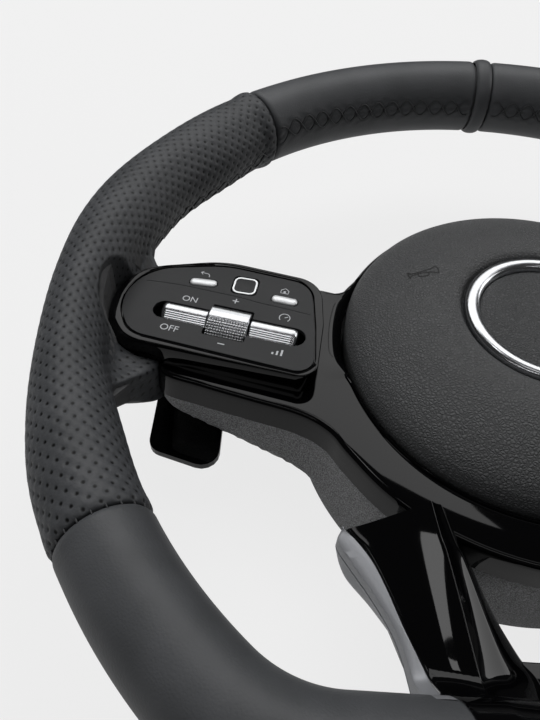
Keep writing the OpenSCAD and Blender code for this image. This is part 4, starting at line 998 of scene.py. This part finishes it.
def bar_rocker(name, at, outer_sign):
    """A plated bar: a flat bright top behind, five ledges down its front, and a rounded outer end."""
    plain = [[-2.2, 58.6], [-3.2, 61.5], [-3.3, 64.4]]
    ledges = 5
    for j in range(ledges):
        y, z = -3.3 + 0.62 * j, 64.9 + 0.5 * j
        plain += [[y, z - 0.1], [y + 0.08, z], [y + 0.3, z + 0.02], [y + 0.52, z + 0.02], [y + 0.6, z + 0.06]]
    plain += [[-0.2, 67.2], [0.0, 67.42], [0.3, 67.5], [1.4, 67.6], [2.4, 67.62], [2.9, 67.45], [3.2, 66.9], [3.3, 66],
              [3.2, 61.5], [2.2, 58.6]]
    plain = np.array(plain)
    smooth = plain.copy()
    front = slice(3, 3 + 5 * ledges)
    smooth[front, 1] = 64.6 + (plain[front, 0] + 3.3) / 3.1 * 2.6
    u = np.concatenate([[0, 0.05, 0.15, 0.35, 0.6, 0.9, 1.2, 1.6, 2.0, 2.4], np.linspace(2.8, bar_l - 2.8, 12),
                        bar_l - np.array([2.4, 2.0, 1.6, 1.2, 0.9, 0.6, 0.35, 0.15, 0.05, 0])])
    rows = []
    for one in u:
        far = min(one, bar_l - one)
        outer_end = (one > bar_l / 2) == (outer_sign > 0)
        r = 2.4 if outer_end else 0.4
        shrink = r * (1 - math.sqrt(max(0, 1 - (1 - min(far / r, 1)) ** 2)))
        ribbed = float(ease((far - 1.4) / 0.6)) if outer_end else 1.0
        section = smooth * (1 - ribbed) + plain * ribbed
        y = np.clip(section[:, 0], -3.3 + shrink, 3.3 - shrink * 0.5)
        z = np.where(section[:, 1] > 64, section[:, 1] - shrink * 0.8, section[:, 1])
        rows.append(np.stack([np.full(len(y), one - bar_l / 2), y, z], 1))
    return crisp(skin(name, along_row(np.array(rows), at)[:, ::-1], caps=True), 35)


chrome = new_finish("bright_chrome", (0.7, 0.71, 0.73), 0.25, Metallic=1.0)
grain(chrome, 900, 0.00001)


def knurled_roller(name):
    u = np.linspace(0, roller_l, 118)
    face = np.array([[-3.0, 58.8], [-5.6, 60.8], [-6.6, 63.4], [-6.65, 64.2]])
    drum = rounded([[-6.65, 64.2], [-6.2, 65.1], [-4.6, 66.9], [-2.6, 68.1], [-0.6, 68.7]], 20)
    lip = rounded([[-0.4, 68.75], [0.0, 69.0], [1.2, 69.08], [3.0, 69.0], [4.8, 68.7], [6.1, 67.4], [6.6, 65.4]], 5)
    section = np.concatenate([face[:-1], drum, lip, [[6.6, 63.4], [5.6, 60.8], [3.0, 58.8]]])
    knurl_from, knurl_to = len(face) - 1, len(face) - 1 + len(drum)
    walk = np.concatenate([[0], np.cumsum(np.linalg.norm(np.diff(section, axis=0), axis=1))])
    way = np.gradient(section, axis=0)
    way /= np.linalg.norm(way, axis=1, keepdims=True)
    normal = np.stack([-way[:, 1], way[:, 0]], 1)
    pitch = 1.05
    a = (1 - np.cos(2 * np.pi * u[:, None] / pitch)) / 2
    b = (1 - np.cos(2 * np.pi * walk[None] / pitch)) / 2
    on = np.zeros(len(section))
    on[knurl_from + 2:knurl_to - 1] = 1
    inside = ease(np.minimum(u, roller_l - u) / 0.7)
    rise = 0.5 * a * b * on[None] * inside[:, None] - 0.25 * on[None]
    end = 0.5 * (1 - np.sqrt(np.clip(1 - (1 - np.clip(np.minimum(u, roller_l - u) / 0.5, 0, 1)) ** 2, 0, 1)))
    p = section[None] + normal[None] * (rise - end[:, None])[..., None]
    grid = np.concatenate([np.broadcast_to((u - roller_l / 2)[:, None, None], p.shape[:2] + (1,)), p], -1)
    return crisp(skin(name, along_row(grid)[:, ::-1], caps=True), 40)


for node, piece in (("outer_rocker", bar_rocker("outer_bar_left", -bar_middle, -1)), ("inner_rocker", bar_rocker("inner_bar_left", bar_middle, 1)),
                    ("knurled_rocker", knurled_roller("roller_left"))):
    fit(flip_x(piece, piece.name.replace("left", "right")), node + "_right", "silver_trim", chrome, node + "_right")
    fit(piece, node + "_left", "silver_trim", chrome, node + "_left")

# Switch pods: buttons and touch pad
# The push buttons are crowned and plated. The touch pad is satin black with a plated outline.


def crowned_button(name, b, top, crown, r=1.6):
    levels = [(button_line(b, -0.2, r), 60.5), (button_line(b, 0, r), 64), (button_line(b, 0, r), top - 0.7)]
    for t in np.linspace(0, 1, 7):
        levels.append((button_line(b, -1.5 * (1 - math.cos(t * math.pi / 2)), r), top - 0.7 + crown * math.sin(t * math.pi / 2)))
    return crisp(stacked(name, levels, caps=True), 50)


satin_cap = new_finish("satin_cap", (0.72, 0.73, 0.74), 0.3, Metallic=0.5)
grain(satin_cap, 1200, 0.00002)
for node, top in (("back_button", 67.5), ("home_button", 67.5)):
    piece = crowned_button(node + "_cap_left", buttons[node], top, 0.7)
    fit(flip_x(piece, node + "_cap_right"), node + "_right", "silver_trim", satin_cap, node + "_right")
    fit(piece, node + "_left", "silver_trim", satin_cap, node + "_left")
pad = buttons["touch_pad"]
touch = crisp(stacked("touch_face_left", [(button_line(pad, 0), 60.5), (button_line(pad, 0), 66.4), (button_line(pad, -0.15), 66.62),
                                           (button_line(pad, -0.4), 66.7)], caps=True), 50)
edge = np.concatenate([button_line(pad, -0.15, 2.2), button_line(pad, -0.95, 2.2)])
n = len(edge) // 2
outline = skin("touch_outline_left", np.stack([np.concatenate([button_line(pad, g, 2.6), np.full((n, 1), z)], 1)
                                               for g, z in ((-0.1, 66.6), (-0.15, 66.82), (-0.8, 66.82), (-0.85, 66.6))])[::-1])
crisp(outline, 30)
for piece, finish, slot in ((touch, satin_black, "satin_black"), (outline, satin_cap, "silver_trim")):
    stands = ("touch_pad_right",) if piece is touch else ()
    fit(flip_x(piece, piece.name.replace("left", "right")), "touch_pad_right", slot, finish, *stands)
    stands = ("touch_pad_left",) if piece is touch else ()
    fit(piece, "touch_pad_left", slot, finish, *stands)

# Switch pods: printed signs
# Plain signs are printed in pale grey beside the switches.
printed = new_finish("printed_grey", (0.42, 0.43, 0.45), 0.5)
grain(printed, 4000, 0.00001)


def word(text, at, size, lean):
    curve = bpy.data.curves.new("word", "FONT")
    curve.body, curve.size, curve.align_x, curve.align_y = text, size, "CENTER", "CENTER"
    made = bpy.data.objects.new("word", curve)
    bpy.context.collection.objects.link(made)
    bpy.context.view_layer.update()
    mesh = bpy.data.meshes.new_from_object(made)
    bpy.data.objects.remove(made)
    mesh.transform(Matrix.Translation((at[0] * MM, at[1] * MM, (fascia_top + 0.03) * MM)) @ Matrix.Rotation(lean, 4, "Z") @ Matrix.Scale(MM, 4))
    piece = bpy.data.objects.new("word", mesh)
    bpy.context.collection.objects.link(piece)
    return piece


def sign(points, at, size, lean, width=0.3, closed=False):
    line = placed(np.array(points, float) * size, at, lean)
    return drawn_line("sign", line, width, over_fascia, 0.03, closed)


def on_row(x, y):
    return placed([[x, y]], row_at, row_lean)[0]


ring_line = [[math.cos(t), math.sin(t)] for t in np.linspace(0, 2 * math.pi, 25)[:-1]]
arc_line = [[math.cos(t), math.sin(t)] for t in np.linspace(math.radians(225), math.radians(-45), 20)]


def signs(side):
    turn = 1 if side == "left" else -1
    lean = row_lean * turn
    mirror = np.array([turn, 1])
    parts = [word("ON", on_row(-17.5, 7.6) * mirror, 3.9, lean), word("OFF", on_row(-20, -8.6) * mirror, 4.1, lean),
             word("+", on_row(-0.5, 11.3) * mirror, 5.2, lean),
             sign([[-1.3, 0], [1.3, 0]], on_row(0.5, -10.7) * mirror, 1.0, lean, 0.45)]
    # A plain dial, a house, an arrow that turns back and three rising bars
    dial = on_row(19.5, 8.3) * mirror
    parts += [sign(arc_line, dial, 2.0, lean, 0.32), sign([[0, 0], [0.8, 0.5]], dial, 1.5, lean, 0.32)]
    home = np.array([buttons["home_button"][0] * turn, buttons["home_button"][1] + 5.1])
    parts.append(sign([[-1.5, -1.2], [-1.5, 0.4], [0, 1.5], [1.5, 0.4], [1.5, -1.2]], home, 1.0, lean, 0.3, True))
    parts.append(sign([[0, -1.0], [0, 0.0]], home, 1.0, lean, 0.9))
    back_at = np.array([buttons["back_button"][0] * turn, buttons["back_button"][1] + 4.7])
    parts.append(sign([[2.2, -1.2], [2.2, -0.2], [1.7, 0.5], [0.9, 0.8], [-1.9, 0.8]], back_at, 0.9, lean, 0.3))
    parts.append(sign([[-0.9, 1.7], [-2.0, 0.8], [-0.9, -0.1]], back_at, 0.9, lean, 0.3))
    levels_at = on_row(21, -8.9) * mirror
    for j in range(3):
        parts.append(sign([[-1.6 + 1.6 * j, -1.3], [-1.6 + 1.6 * j, -0.3 + 0.9 * j]], levels_at, 1.0, lean, 0.7))
    return joined("printed_signs_" + side, parts)


for side in ("left", "right"):
    fit(signs(side), "wheel", "satin_black", printed)

# Pieces that keep their solids
# The castings, springs, fasteners, boards and paddles are shown by their own solids in real finishes.
cast = new_finish("cast_metal", (0.5, 0.51, 0.53), 0.5, Metallic=0.9)
mottle(cast, (0.42, 0.43, 0.45), (0.56, 0.57, 0.59), 150)
grain(cast, 700, 0.0001)
zinc = new_finish("zinc_steel", (0.55, 0.56, 0.58), 0.32, Metallic=1.0)
grain(zinc, 800, 0.00003)
foam = new_finish("foam_skin", (0.06, 0.06, 0.062), 0.8)
grain(foam, 400, 0.0003)
packed = new_finish("packed_fabric", (0.7, 0.68, 0.63), 0.85)
grain(packed, 3000, 0.0002, "Voronoi")
board = new_finish("circuit_board", (0.02, 0.12, 0.05), 0.4)
mottle(board, (0.015, 0.09, 0.04), (0.03, 0.16, 0.07), 300)
for slot, finish in (("cast_metal", cast), ("steel", zinc), ("foam", foam), ("airbag_fabric", packed), ("circuit_board", board),
                     ("gloss_black", piano_black), ("moulded_grey", speckled_grey), ("silver_trim", satin_plated),
                     ("satin_black", satin_black), ("cover_skin", cover_skin), ("leather_smooth", smooth_leather),
                     ("leather_grip", smooth_leather)):
    for entry in frame["record"]["subparts"]:
        if entry["material_slot"] == slot:
            solid = frame["nodes"][entry["node"]]
            for k in range(max(1, len(solid.material_slots))):
                if solid.material_slots:
                    solid.material_slots[k].material = finish
